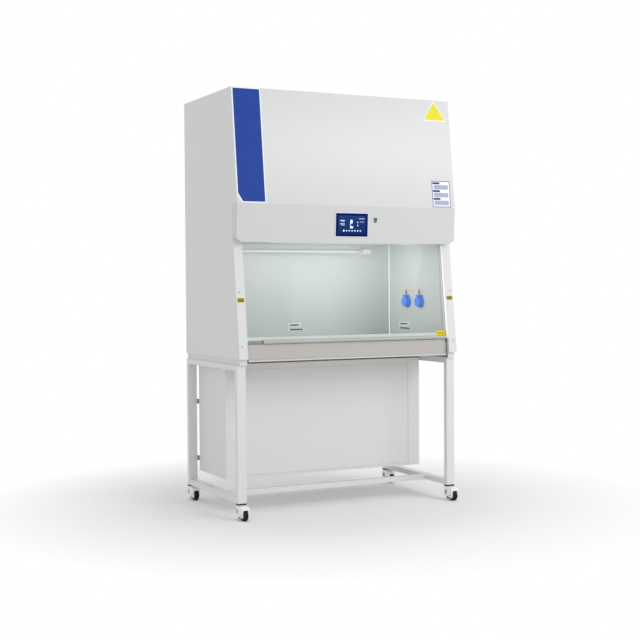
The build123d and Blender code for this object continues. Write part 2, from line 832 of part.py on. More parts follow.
rail_half = x_inner - 3
with BuildPart() as edge_rail:
    with BuildSketch(sash_plane.offset(glass_start - edge_rail_wall)):
        with Locations((0, sum(glass_depth) / 2)):
            Rectangle(2 * rail_half, glass_thickness + 2 * edge_rail_wall)
    extrude(amount=edge_rail_height)
    with BuildSketch(sash_plane.offset(glass_start)):
        with Locations((0, sum(glass_depth) / 2)):
            Rectangle(2 * rail_half, glass_thickness)
    extrude(amount=edge_rail_height, mode=Mode.SUBTRACT)
finish(edge_rail, "sash_edge_rail")

guide_x = (x_inner + sheet + 0.3, x_inner + glass_bite + guide_gap, x_inner + glass_bite + guide_wall)
guide_front = glass_depth[0] - guide_gap - 3
guide_rear = throat
guide_top = glass_start + glass_length + sash_travel + guide_top_margin
guide_low = z_deck + 4
with BuildPart() as sash_guides:
    for side in (-1, 1):
        with BuildSketch(sash_plane):
            with BuildLine():
                Polyline(
                    (side * guide_x[0], guide_front),
                    (side * guide_x[2], guide_front),
                    (side * guide_x[2], guide_rear),
                    (side * guide_x[0], guide_rear),
                    (side * guide_x[0], glass_depth[1] + guide_gap),
                    (side * guide_x[1], glass_depth[1] + guide_gap),
                    (side * guide_x[1], glass_depth[0] - guide_gap),
                    (side * guide_x[0], glass_depth[0] - guide_gap),
                    close=True,
                )
            make_face()
        extrude(amount=guide_top)
    split(bisect_by=Plane.XY.offset(guide_low), keep=Keep.TOP)
finish(sash_guides, "sash_guides")

belt_x = x_inner - belt_inset
belt_face = belt_setback - pulley_diameter / 2 - belt_thickness
drive_start = idler_start + drive_above_idler
hanger_base = glass_start + glass_length
with BuildPart() as sash_hangers:
    with BuildSketch(Plane(sash_plane.origin, x_dir=(0, cos(slope), -sin(slope)), z_dir=(1, 0, 0))):
        with BuildLine():
            Polyline(
                (glass_depth[0] - hanger_plate, hanger_base - hanger_grip),
                (glass_depth[0], hanger_base - hanger_grip),
                (glass_depth[0], hanger_base),
                (glass_depth[1], hanger_base),
                (glass_depth[1], hanger_base - hanger_grip),
                (glass_depth[1] + hanger_plate, hanger_base - hanger_grip),
                (glass_depth[1] + hanger_plate, hanger_base + hanger_plate),
                (belt_face - swivel_gap, hanger_base + hanger_neck),
                (belt_face - swivel_gap, hanger_base + hanger_height - hanger_grip),
                (glass_depth[0] - hanger_plate, hanger_base + hanger_neck),
                close=True,
            )
        make_face()
    extrude(amount=hanger_width / 2, both=True)
    hanger = sash_hangers.part.moved(Location((belt_x, 0, 0)))
    other = sash_hangers.part.moved(Location((-belt_x, 0, 0)))
    add(hanger, mode=Mode.REPLACE)
    add(other)
finish(sash_hangers, "sash_hangers")

belt_plane = Plane(sash_plane.origin, x_dir=(0, cos(slope), -sin(slope)), z_dir=(1, 0, 0))
with BuildPart() as sash_belts:
    for side in (-1, 1):
        with BuildSketch(belt_plane.offset(side * belt_x - belt_width / 2)):
            with Locations((belt_setback, (idler_start + drive_start) / 2)):
                SlotCenterToCenter(
                    drive_above_idler, pulley_diameter + 2 * belt_thickness, rotation=90
                )
                SlotCenterToCenter(
                    drive_above_idler,
                    pulley_diameter + 2 * swivel_gap,
                    rotation=90,
                    mode=Mode.SUBTRACT,
                )
        extrude(amount=belt_width)
finish(sash_belts, "sash_belts")

shaft_half = x_inner + guide_wall + glass_bite + 8
with BuildPart() as drive_shaft:
    with BuildSketch(belt_plane.offset(-shaft_half)):
        with Locations((belt_setback, drive_start)):
            Circle(drive_shaft_diameter / 2)
    extrude(amount=2 * shaft_half)
    for side in (-1, 1):
        with BuildSketch(belt_plane.offset(side * belt_x - pulley_width / 2)):
            with Locations((belt_setback, drive_start)):
                Circle(pulley_diameter / 2)
        extrude(amount=pulley_width)
    with BuildSketch(belt_plane.offset(-belt_x + pulley_width)):
        with Locations((belt_setback, drive_start)):
            Circle(tube_motor_diameter / 2)
    extrude(amount=tube_motor_length)
finish(drive_shaft, "sash_drive_shaft")

bearing_in = x_inner - 4
with BuildPart() as idlers:
    for side in (-1, 1):
        with BuildSketch(belt_plane.offset(side * belt_x - pulley_width / 2)):
            with Locations((belt_setback, idler_start)):
                Circle(pulley_diameter / 2)
        extrude(amount=pulley_width)
        pin_low, pin_high = sorted((side * belt_x, side * (bearing_in + 20)))
        with BuildSketch(belt_plane.offset(pin_low)):
            with Locations((belt_setback, idler_start)):
                Circle(idler_pin_diameter / 2)
        extrude(amount=pin_high - pin_low)
finish(idlers, "sash_idlers")

with BuildPart() as bearings:
    for rise, bore in ((idler_start, idler_pin_diameter), (drive_start, drive_shaft_diameter)):
        for side in (-1, 1):
            low, high = sorted((side * bearing_in, side * (half - sheet)))
            with BuildSketch(belt_plane.offset(low)):
                with Locations((belt_setback, rise)):
                    Rectangle(bearing_size, bearing_size)
                    Circle(bore / 2 + running_gap, mode=Mode.SUBTRACT)
            extrude(amount=high - low)
finish(bearings, "drive_bearings")

# ==== air system ====
filter_y = (y_filter_front, y_chamber - filter_rear_gap)
filter_depth = filter_y[1] - filter_y[0]
filter_width = 2 * (x_inner - filter_side_gap)
with BuildPart() as diffuser:
    front = column_face(z_ceiling) + throat_depth + 2
    block((-pan_half, pan_half), (front, y_chamber + liner_sheet), (z_ceiling, z_ceiling + sheet))
    with BuildSketch(Plane.XY.offset(z_ceiling)):
        for y in (sum(filter_y) / 2 - filter_depth / 4, sum(filter_y) / 2 + filter_depth / 4):
            with Locations((0, y)):
                with GridLocations(diffuser_slot_pitch, 0, diffuser_slot_count, 1):
                    Rectangle(diffuser_slot_width, filter_depth / 2 - diffuser_slot_margin)
    extrude(amount=sheet, mode=Mode.SUBTRACT)
finish(diffuser, "diffuser")


def filter_cell(x_half, y_range, low, height):
    """A framed pleated filter: the media lies back from both faces of its frame."""
    block((-x_half, x_half), y_range, (low, low + height))
    for z in (low, low + height - filter_recess):
        block(
            (-x_half + filter_frame, x_half - filter_frame),
            (y_range[0] + filter_frame, y_range[1] - filter_frame),
            (z, z + filter_recess),
            Mode.SUBTRACT,
        )


z_filter = z_ceiling + sheet
with BuildPart() as supply_filter:
    filter_cell(filter_width / 2, filter_y, z_filter, filter_height)
finish(supply_filter, "supply_filter")

z_plenum = z_filter + filter_height
z_exhaust = z_plenum + plenum_height
plenum_half = filter_width / 2
blower_z = z_plenum + plenum_height / 2 + 30
with BuildPart() as plenum:
    block((-plenum_half, plenum_half), filter_y, (z_plenum, z_exhaust))
    offset(amount=-sheet, openings=plenum.faces().sort_by(Axis.Z)[0], kind=Kind.INTERSECTION)
    with BuildSketch(Plane.XY.offset(z_exhaust)):
        with Locations((0, exhaust_y)):
            Rectangle(
                exhaust_filter_width - 2 * filter_frame, exhaust_filter_depth - 2 * filter_frame
            )
    extrude(amount=-2 * sheet, mode=Mode.SUBTRACT)
    with BuildSketch(Plane.XZ.offset(-filter_y[1])):
        with Locations((0, blower_z)):
            Circle(inlet_diameter / 2 + 10)
    extrude(amount=2 * sheet, both=True, mode=Mode.SUBTRACT)
finish(plenum, "plenum_box")

with BuildPart() as exhaust_filter:
    filter_cell(
        exhaust_filter_width / 2,
        (exhaust_y - exhaust_filter_depth / 2, exhaust_y + exhaust_filter_depth / 2),
        z_exhaust,
        exhaust_filter_height,
    )
finish(exhaust_filter, "exhaust_filter")

# blower: the scroll opens downwards, its inlet mouth faces the rear duct
scroll_front = filter_y[1] - sheet - scroll_width
with BuildPart() as scroll:
    with BuildSketch(Plane.XZ.offset(-(filter_y[1] - sheet))):
        with Locations((0, blower_z)):
            Circle(scroll_radius)
        with Locations((scroll_radius - scroll_throat / 2, blower_z - scroll_radius / 2 - 30)):
            Rectangle(scroll_throat, scroll_radius + 60)
    extrude(amount=scroll_width)
    offset(amount=-sheet, openings=scroll.faces().sort_by(Axis.Z)[0], kind=Kind.INTERSECTION)
    with BuildSketch(Plane.XZ.offset(-(filter_y[1] - sheet))):
        with Locations((0, blower_z)):
            Circle(inlet_diameter / 2)
    extrude(amount=2 * sheet, mode=Mode.SUBTRACT)
    with BuildSketch(Plane.XZ.offset(-scroll_front)):
        with Locations((0, blower_z)):
            Circle(motor_diameter / 2 + 0.5)
    extrude(amount=-2 * sheet, mode=Mode.SUBTRACT)
finish(scroll, "blower_housing")

impeller_low = scroll_front + impeller_start
impeller_y = (impeller_low, impeller_low + impeller_width)
with BuildPart() as impeller:
    with BuildSketch(Plane.XZ.offset(-impeller_y[0])):
        with Locations((0, blower_z)):
            Circle(impeller_diameter / 2)
    extrude(amount=-impeller_plate)
    with BuildSketch(Plane.XZ.offset(-impeller_y[0])):
        with Locations((0, blower_z)):
            Circle(hub_diameter / 2)
    extrude(amount=-hub_length)
    with BuildSketch(Plane.XZ.offset(-(impeller_y[1] - impeller_plate))):
        with Locations((0, blower_z)):
            Circle(impeller_diameter / 2)
            Circle(inlet_diameter / 2 - 2 * impeller_plate, mode=Mode.SUBTRACT)
    extrude(amount=-impeller_plate)
    # backward-curved blades between the back plate and the shroud ring
    with BuildSketch(Plane.XZ.offset(-impeller_y[0])):
        with Locations((0, blower_z)):
            with PolarLocations(impeller_diameter / 2 - blade_chord / 2 - 2, blade_count):
                Rectangle(blade_chord, blade_thickness, rotation=blade_angle)
    extrude(amount=-impeller_width)
    with BuildSketch(Plane.XZ.offset(-impeller_y[0])):
        with Locations((0, blower_z)):
            Circle(motor_shaft_diameter / 2)
    extrude(amount=-hub_length, mode=Mode.SUBTRACT)
finish(impeller, "impeller")

with BuildPart() as motor:
    with BuildSketch(Plane.XZ.offset(-(scroll_front + motor_inside))):
        with Locations((0, blower_z)):
            Circle(motor_diameter / 2)
    extrude(amount=motor_length)
    chamfer(motor.edges().filter_by(GeomType.CIRCLE).group_by(Axis.Y)[0], motor_end_bevel)
    with BuildSketch(Plane.XZ.offset(-scroll_front)):
        with Locations((0, blower_z)):
            Circle(motor_diameter / 2 + motor_flange_width)
    extrude(amount=motor_flange)
    with BuildSketch(Plane.XZ.offset(-(scroll_front + motor_inside))):
        with Locations((0, blower_z)):
            Circle(motor_shaft_diameter / 2 - running_gap)
    extrude(amount=-motor_shaft_length)
finish(motor, "blower_motor")

# ==== lamps ====
lamp_z = z_ceiling - lamp_below_ceiling
lamp_y = y_chamber - lamp_holder_depth * 0.65
with BuildPart() as uv_tube:
    with BuildSketch(Plane.YZ.offset(-tube_length / 2)):
        with Locations((lamp_y, lamp_z)):
            Circle(tube_diameter / 2)
    extrude(amount=tube_length)
finish(uv_tube, "uv_lamp_tube")

with BuildPart() as lamp_holders:
    for side in (-1, 1):
        low = min(side * tube_length / 2, side * (tube_length / 2 + lamp_holder_length))
        with BuildSketch(Plane.YZ.offset(low)):
            with Locations((y_chamber - lamp_holder_depth / 2, lamp_z)):
                RectangleRounded(lamp_holder_depth, lamp_holder_height, 10)
            with Locations((y_chamber - lamp_holder_depth / 4, lamp_z)):
                Rectangle(lamp_holder_depth / 2, lamp_holder_height)
        extrude(amount=lamp_holder_length)
finish(lamp_holders, "uv_lamp_holders")

with BuildPart() as hood_light:
    back = y_hood + hood_lip
    prism(
        [
            (back - hood_light_depth * 0.6, z_hood + sheet),
            (back - hood_light_depth * 0.6, z_hood + sheet + hood_light_height * 0.6),
            (back - hood_light_depth * 0.4, z_hood + sheet + hood_light_height),
            (back + hood_light_depth * 0.4, z_hood + sheet + hood_light_height),
            (back + hood_light_depth * 0.4, z_hood + sheet),
            (back + hood_light_depth * 0.2, z_hood - sheet / 2),
            (back, z_hood - sheet / 2),
            (back, z_hood + sheet),
        ],
        -hood_light_length / 2,
        hood_light_length / 2,
    )
finish(hood_light, "hood_light")

# ==== controls ====
with BuildPart() as touchscreen:
    with BuildSketch(panel_plane):
        with Locations((screen_offset, screen_rise)):
            RectangleRounded(screen_width, screen_height, 6)
    extrude(amount=screen_proud)
    chamfer(touchscreen.faces().sort_by(Axis.Y)[0].edges(), 1)
    with BuildSketch(panel_plane):
        with Locations((screen_offset, screen_rise)):
            RectangleRounded(screen_width - 2 * screen_bezel, screen_height - 2 * screen_bezel, 5)
    extrude(amount=-screen_body)
finish(touchscreen, "touchscreen")

with BuildPart() as power_button:
    with BuildSketch(panel_plane.offset(button_proud - button_length)):
        with Locations((button_offset, button_rise)):
            RectangleRounded(button_width, button_height, 3)
    extrude(amount=button_length)
    with BuildSketch(panel_plane.offset(-sheet * 1.2 - 0.5)):
        with Locations((button_offset, button_rise)):
            RectangleRounded(
                button_width + 2 * button_flange_width, button_height + 2 * button_flange_width, 3
            )
    extrude(amount=-button_flange)
finish(power_button, "power_button")

inlet_place = (x_pan - inlet_side, z_roof - inlet_below_roof)
with BuildPart() as power_inlet:
    with BuildSketch(Plane.XZ.offset(-y_rear)):
        with Locations(inlet_place):
            RectangleRounded(inlet_width - 2 * inlet_gap, inlet_height - 2 * inlet_gap, 3)
            RectangleRounded(
                inlet_width - 2 * inlet_rim[0], inlet_height - 2 * inlet_rim[1], 2, mode=Mode.SUBTRACT
            )
    extrude(amount=inlet_body)
    with BuildSketch(Plane.XZ.offset(-(y_rear - inlet_body))):
        with Locations(inlet_place):
            RectangleRounded(inlet_width - 2 * inlet_gap, inlet_height - 2 * inlet_gap, 3)
    extrude(amount=-inlet_wall)
    with BuildSketch(Plane.XZ.offset(-(y_rear - inlet_body))):
        with Locations(inlet_place):
            with GridLocations(inlet_pin_pitch, 0, 3, 1):
                Rectangle(2, 6)
    extrude(amount=-inlet_pin_length)
finish(power_inlet, "power_inlet")

# ==== sockets on the right-hand wall, each with a lid that flips up ====
socket_z = z_deck + socket_height_above_deck
ring_x = x_inner - socket_plate - socket_ring_depth
hinge_z = socket_z + socket_height / 2 - knuckle_diameter / 2
hinge_x = ring_x - lid_gap
for y, place in ((socket_front_y, "front"), (socket_rear_y, "rear")):
    with BuildPart() as socket:
        with BuildSketch(Plane.YZ.offset(x_inner - socket_plate)):
            with Locations((y, socket_z)):
                with Locations((0, -socket_height / 2 + socket_width / 2)):
                    Circle(socket_width / 2)
                with Locations((0, socket_height / 2 - socket_top / 2)):
                    Circle(socket_top / 2)
            make_hull()
        extrude(amount=socket_plate)
        with BuildSketch(Plane.YZ.offset(ring_x)):
            with Locations((y, socket_z - 4)):
                Circle(socket_ring_diameter / 2)
        extrude(amount=socket_ring_depth)
        for ear in (-1, 1):
            ear_y = y + ear * (knuckle_length / 2 + 4.5)
            with BuildSketch(Plane.XZ.offset(-(ear_y + 4))):
                with BuildLine():
                    Polyline(
                        (x_inner - socket_plate, hinge_z + knuckle_diameter / 2),
                        (hinge_x, hinge_z + knuckle_diameter / 2),
                        (hinge_x - knuckle_diameter / 2, hinge_z),
                        (hinge_x, hinge_z - knuckle_diameter / 2),
                        (x_inner - socket_plate, hinge_z - knuckle_diameter / 2 - 4),
                        close=True,
                    )
                make_face()
            extrude(amount=8)
        with BuildSketch(Plane.XZ.offset(-(y + knuckle_length / 2 + 6))):
            with Locations((hinge_x, hinge_z)):
                Circle(hinge_pin_diameter / 2)
        extrude(amount=knuckle_length + 12)
        with BuildSketch(Plane.YZ.offset(ring_x)):
            with Locations((y, socket_z - 4)):
                Circle(well_diameter / 2)
        extrude(amount=well_depth, mode=Mode.SUBTRACT)
    finish(socket, f"socket_{place}")

    with BuildPart() as lid:
        lid_z = socket_z - 4
        with BuildSketch(Plane.YZ.offset(ring_x - lid_gap - lid_thickness)):
            with Locations((y, lid_z)):
                RegularPolygon(socket_ring_diameter / 2 + 4, 8, rotation=22.5)
            with Locations((y, (lid_z + hinge_z) / 2)):
                Rectangle(knuckle_length, hinge_z - lid_z)
        extrude(amount=lid_thickness)
        front_rim = lid.faces().sort_by(Axis.X)[0].edges()
        chamfer(front_rim, 3)
        with BuildSketch(Plane.XZ.offset(-(y + knuckle_length / 2))):
            with Locations((hinge_x, hinge_z)):
                Circle(knuckle_diameter / 2)
        extrude(amount=knuckle_length)
        with BuildSketch(Plane.XZ.offset(-(y + knuckle_length / 2))):
            with Locations((hinge_x, hinge_z)):
                Circle(hinge_pin_diameter / 2 + running_gap)
        extrude(amount=knuckle_length, mode=Mode.SUBTRACT)
    finish(lid, f"socket_lid_{place}")

print("footprint", cabinet_width, footprint_depth, "height", z_roof)
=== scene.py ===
import json
import math

import bpy
from mathutils import Matrix, Vector


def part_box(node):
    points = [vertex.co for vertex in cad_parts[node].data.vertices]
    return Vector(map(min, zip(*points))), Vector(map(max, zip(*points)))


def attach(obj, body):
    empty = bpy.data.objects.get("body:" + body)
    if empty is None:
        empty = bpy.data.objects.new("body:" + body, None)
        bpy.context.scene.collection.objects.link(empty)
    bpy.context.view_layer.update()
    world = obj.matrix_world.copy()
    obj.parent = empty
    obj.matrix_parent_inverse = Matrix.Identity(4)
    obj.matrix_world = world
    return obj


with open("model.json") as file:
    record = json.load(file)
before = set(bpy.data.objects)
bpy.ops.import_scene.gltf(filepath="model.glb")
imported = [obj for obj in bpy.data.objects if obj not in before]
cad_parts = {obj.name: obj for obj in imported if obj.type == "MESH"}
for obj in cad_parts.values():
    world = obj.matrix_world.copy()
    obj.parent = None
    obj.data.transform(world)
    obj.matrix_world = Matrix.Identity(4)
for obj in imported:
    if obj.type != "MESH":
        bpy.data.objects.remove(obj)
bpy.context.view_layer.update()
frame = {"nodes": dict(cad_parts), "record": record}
nodes = frame["nodes"]
print("frame loaded:", len(nodes), "nodes")

mm = 0.001


# shader kit
class Wire:  # a socket that sums, products and a comparison can be written with
    def __init__(self, shader, socket):
        self.shader = shader
        self.socket = socket

    def math(self, operation, first, second=None):
        values = {0: first} if second is None else {0: first, 1: second}
        return self.shader.node("ShaderNodeMath", {"operation": operation}, values)

    def __add__(self, other):
        return self.math("ADD", self, other)

    def __radd__(self, other):
        return self.math("ADD", other, self)

    def __sub__(self, other):
        return self.math("SUBTRACT", self, other)

    def __rsub__(self, other):
        return self.math("SUBTRACT", other, self)

    def __mul__(self, other):
        return self.math("MULTIPLY", self, other)

    def __rmul__(self, other):
        return self.math("MULTIPLY", other, self)

    def __gt__(self, other):
        return self.math("GREATER_THAN", self, other)

    def size(self):
        return self.math("ABSOLUTE", self)

    def sine(self):
        return self.math("SINE", self)

    def larger(self, other):
        return self.math("MAXIMUM", self, other)

    def ramp(self, low, high, start=0.0, end=1.0):
        values = {0: self, 1: low, 2: high, 3: start, 4: end}
        return self.shader.node("ShaderNodeMapRange", {}, values)


class Shader:  # the nodes of a material or of a world
    def __init__(self, name, library=bpy.data.materials, surface="Principled BSDF"):
        self.material = library.new(name)
        self.material.use_nodes = True
        self.tree = self.material.node_tree
        self.surface = self.tree.nodes[surface]
        self.place = self.node("ShaderNodeTexCoord", {}, {}, "Object")

    def plug(self, socket, value):
        if isinstance(value, Wire):
            self.tree.links.new(value.socket, socket)
        elif isinstance(value, tuple) and len(value) == 3 and len(socket.default_value) == 4:
            socket.default_value = (*value, 1)
        else:
            socket.default_value = value

    def node(self, kind, settings, values, output=0):
        made = self.tree.nodes.new(kind)
        for key, value in settings.items():
            setattr(made, key, value)
        for socket, value in values.items():
            self.plug(made.inputs[socket], value)
        return Wire(self, made.outputs[output])

    def set(self, **values):
        for key, value in values.items():
            self.plug(self.surface.inputs[key.replace("_", " ")], value)
        return self

    def glow(self, colour, strength):
        return self.set(Emission_Color=colour, Emission_Strength=strength)

    def showOn(self, ending, blend):
        self.plug(self.tree.nodes[ending].inputs["Surface"], blend)

    def stretched(self, scale):
        return self.node("ShaderNodeMapping", {}, {0: self.place, 3: scale})

    def noise(self, scale, detail=2.0, place=None):
        values = {"Vector": place or self.place, "Scale": scale, "Detail": detail}
        return self.node("ShaderNodeTexNoise", {}, values)

    def mix(self, factor, first, second):
        values = {0: factor, 6: first, 7: second}
        return self.node("ShaderNodeMix", {"data_type": "RGBA"}, values, 2)

    def part(self, axis):
        return self.node("ShaderNodeSeparateXYZ", {}, {0: self.place}, "XYZ".index(axis))

    def facing(self, axis):
        normal = self.node("ShaderNodeNewGeometry", {}, {}, "Normal")
        return self.node("ShaderNodeSeparateXYZ", {}, {0: normal}, "XYZ".index(axis))

    def bump(self, height, strength, distance):
        values = {"Height": height, "Strength": strength, "Distance": distance}
        return self.node("ShaderNodeBump", {}, values)


def srgb(*seen):  # 0 to 255 as seen, to the linear values that sockets take
    shares = [value / 255 for value in seen]
    return tuple(s / 12.92 if s < 0.04045 else ((s + 0.055) / 1.055) ** 2.4 for s in shares)


def shaded(colour, share):
    return tuple(min(channel * share, 1) for channel in colour)


# finishes
def powderCoat(name, colour, roughness=0.42):
    paint = Shader(name)
    cloud = paint.noise(1.7, 3)
    speck = paint.noise(900, 2)
    dust = paint.noise(38, 4)
    shade = paint.mix(cloud * 0.5, shaded(colour, 0.985), colour)
    paint.set(Base_Color=paint.mix((speck - 0.5) * 0.10 + 0.04, shade, shaded(colour, 0.9)))
    paint.set(Roughness=dust * 0.10 + (roughness - 0.05), Coat_Weight=0.06, Coat_Roughness=0.35)
    return paint.set(Normal=paint.bump(speck, 0.06, 0.0003)).material


def brushed(name, colour, grain=(1, 60, 60), roughness=0.34, metallic=0.75, paintedLight=None):
    steel = Shader(name)
    lines = steel.noise(22, 4, steel.stretched(grain))
    smear = steel.noise(3.5, 3)
    tone = steel.mix(lines, shaded(colour, 0.93), shaded(colour, 1.05))
    if paintedLight:  # painted light towards the foot: painted shade on the chamber walls, a painted highlight on the fascia's lower lip
        reach = steel.part("Z").ramp(paintedLight["full"], paintedLight["none"], paintedLight["share"], 0.0)
        tone = steel.mix(reach, tone, paintedLight["colour"])
    steel.set(Base_Color=steel.mix(smear * 0.25, tone, shaded(colour, 0.88)))
    steel.set(Metallic=metallic, Roughness=lines * 0.12 + smear * 0.08 + (roughness - 0.1))
    return steel.set(Normal=steel.bump(lines, 0.05, 0.0003)).material


def moulded(name, colour, roughness=0.4, light=(0, 0, 0), strength=0.0):
    plastic = Shader(name)
    grain = plastic.noise(700, 2)
    wear = plastic.noise(28, 5)
    worn = tuple(min(c + 0.03, 1) for c in colour)
    plastic.set(Base_Color=plastic.mix(wear * 0.12, colour, worn))
    plastic.set(Roughness=wear * 0.14 + (roughness - 0.07))
    if strength:
        plastic.glow(light, strength)
    return plastic.set(Normal=plastic.bump(grain, 0.12, 0.0002)).material


def zincSheet(name):
    zinc = Shader(name)
    flakes = zinc.node("ShaderNodeTexVoronoi", {}, {"Vector": zinc.place, "Scale": 55}, "Color")
    grey = zinc.node("ShaderNodeSeparateXYZ", {}, {0: flakes})
    zinc.set(Base_Color=zinc.mix(grey, srgb(168, 172, 176), srgb(196, 199, 202)))
    zinc.set(Metallic=0.85, Roughness=grey * 0.18 + 0.32)
    return zinc.set(Normal=zinc.bump(grey, 0.04, 0.0003)).material


def sashGlass(name):
    glass = Shader(name)
    edge = (glass.facing("X").size() > 0.7) + (glass.facing("Z").size() > 0.7)
    film = glass.noise(9, 4)
    glass.set(Base_Color=glass.mix(edge, srgb(206, 222, 216), srgb(96, 150, 132)))
    glass.set(Alpha=edge * 0.6 + film * 0.03 + 0.035, Roughness=film * 0.03 + 0.01)
    return glass.set(IOR=1.5, Specular_IOR_Level=0.12).material


def lampGlass(name, ends):
    lamp = Shader(name)
    reach = lamp.part("X").size()
    soot = reach.ramp(ends - 0.05, ends)
    frost = lamp.noise(120, 3)
    lamp.set(Base_Color=lamp.mix(soot * 0.5 + frost * 0.06, srgb(236, 241, 239), srgb(170, 172, 170)))
    lamp.set(Roughness=frost * 0.1 + 0.22)
    return lamp.glow(srgb(240, 246, 248), 0.02).material


def pleatedFilter(name, pitch=6 * mm):
    cell = Shader(name)
    pleat = (cell.part("X") * (2 * math.pi / pitch)).sine() * 0.5 + 0.5
    upright = cell.facing("Z").size() > 0.7
    fibre = cell.noise(450, 3)
    # painted shade: the pleat valleys are darker and the crests lighter, as light would fall across the
    # folds
    pleatShadedMedia = cell.mix(pleat, srgb(214, 214, 208), srgb(244, 244, 240))
    cell.set(Base_Color=cell.mix(upright * 0.9, srgb(188, 190, 190), pleatShadedMedia))
    cell.set(Metallic=0.8 - upright * 0.8, Roughness=fibre * 0.2 + upright * 0.35 + 0.25)
    return cell.set(Normal=cell.bump(pleat * upright, 0.5, 0.002)).material


def vinyl(name, colour, roughness=0.4, gloss=0.15):
    film = Shader(name)
    ripple = film.noise(14, 3)
    grit = film.noise(600, 2)
    film.set(Base_Color=film.mix(ripple * 0.1, colour, shaded(colour, 0.9)))
    film.set(Roughness=ripple * 0.06 + (roughness - 0.03), Specular_IOR_Level=gloss)
    return film.set(Normal=film.bump(grit, 0.04, 0.0002)).material


def litScreen(name, low, high):
    screen = Shader(name)
    rise = screen.part("Z").ramp(low, high)
    dots = screen.noise(260, 2)
    tone = screen.mix(rise, srgb(10, 36, 84), srgb(16, 60, 118))
    tone = screen.mix(dots * 0.25, tone, srgb(10, 24, 92))
    screen.set(Base_Color=tone).glow(tone, 0.3)
    return screen.set(Roughness=dots * 0.05 + 0.1, Specular_IOR_Level=0.1).material


def tread(name):
    rubber = Shader(name)
    scuff = rubber.noise(90, 5)
    fine = rubber.noise(900, 2)
    rubber.set(Base_Color=rubber.mix(scuff, srgb(7, 7, 8), srgb(22, 22, 23)))
    rubber.set(Roughness=scuff * 0.25 + 0.5, Specular_IOR_Level=0.25)
    return rubber.set(Normal=rubber.bump(fine, 0.2, 0.0003)).material


finish = {
    "painted_white": powderCoat("whiteCoat", srgb(226, 227, 227), 0.48),
    "painted_frame": powderCoat("frameCoat", srgb(228, 228, 227), 0.4),
    "stainless": brushed("stainlessSheet", srgb(196, 200, 197)),
    "galvanised": zincSheet("zincSheet"),
    "guide_aluminium": brushed("satinAluminium", srgb(222, 228, 225), (60, 60, 1), 0.3, 0.5),
    "dark_steel": powderCoat("darkCoat", srgb(74, 78, 82), 0.5),
    "bright_steel": brushed("turnedSteel", srgb(186, 188, 190), (60, 1, 60), 0.28, 0.9),
    "safety_glass": sashGlass("sashGlass"),
    "belt_rubber": tread("beltRubber"),
    "filter_frame": pleatedFilter("pleatedFilter"),
    "impeller_metal": powderCoat("impellerCoat", srgb(62, 64, 68), 0.5),
    "lamp_glass": lampGlass("tubeGlass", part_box("uv_lamp_tube")[1].x),
    "lamp_plastic": moulded("lampPlastic", srgb(240, 241, 240), 0.3),
    "black_plastic": moulded("blackPlastic", srgb(30, 31, 34), 0.45),
    "button_plastic": moulded("greenCap", srgb(38, 122, 84), 0.25),
    "blue_plastic": moulded("bluePlastic", srgb(62, 140, 255), 0.25),
    "caster_plastic": moulded("casterPlastic", srgb(246, 247, 247), 0.3),
    "wheel_tread": tread("wheelTread"),
}
# painted shade: the chamber walls turn darker towards their foot, standing in for the fall of light in the
# chamber
paintedWallShade = {"full": 0.92, "none": 1.46, "share": 0.3, "colour": (0.2, 0.24, 0.22)}
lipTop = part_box("fascia")[0].z + 6 * mm
# painted highlight: a brighter band along the fascia's lower lip, where its edge catches the light
paintedLipHighlight = {"full": lipTop, "none": lipTop + 0.5 * mm, "share": 0.6, "colour": srgb(236, 234, 232)}
warmSteel = brushed("fasciaSteel", srgb(191, 187, 183), (1, 50, 50), 0.4, 0.25, paintedLipHighlight)
wallSteel = brushed("wallSteel", srgb(228, 233, 231), (50, 50, 1), 0.5, 0.1, paintedWallShade)
deckSteel = brushed("deckSteel", srgb(170, 173, 171), (1, 50, 50), 0.36, 0.45)
# partly painted shade: the front grille's steel is dark for its slots and for the shadowed gap below the
# sash
slotSteelShaded = brushed("slotSteelShaded", srgb(84, 85, 84), (1, 50, 50), 0.42, 0.35)
railSteel = brushed("railSteel", srgb(196, 204, 200), (1, 50, 50), 0.38, 0.2)
screenRim = vinyl("screenRim", srgb(238, 239, 246), 0.3)
guideWhite = powderCoat("guideWhite", srgb(244, 246, 245), 0.35)
# painted shade: a darker copy of the white paint for the control panel, which faces slightly down
panelCoatShaded = powderCoat("panelCoatShaded", srgb(213, 214, 214))
litPlastic = moulded("litPlastic", srgb(250, 252, 252), 0.4, srgb(244, 252, 250), 0.5)
bracketGrey = powderCoat("bracketGrey", srgb(138, 139, 140), 0.5)
special = {
    "fascia": warmSteel,
    "armrest": deckSteel,
    # partly painted shade: the work surface steel is darker than the other stainless, for the shadowed
    # recess behind the armrest
    "work_surface": brushed("surfaceSteelShaded", srgb(160, 163, 161), (1, 50, 50), 0.34, 0.7),
    "front_grille": slotSteelShaded,
    "sash_edge_rail": railSteel,
    "sash_guides": guideWhite,
    "control_panel": panelCoatShaded,
    "hood_light": litPlastic,
    "box_brackets": bracketGrey,
    "chamber_liner": wallSteel,
    "diffuser": wallSteel,
    "touchscreen": screenRim,
}
slotOf = {row["node"]: row["material_slot"] for row in frame["record"]["subparts"]}
for name, node in nodes.items():
    node.data.materials.clear()
    node.data.materials.append(special.get(name) or finish[slotOf[name]])
print("finishes assigned")


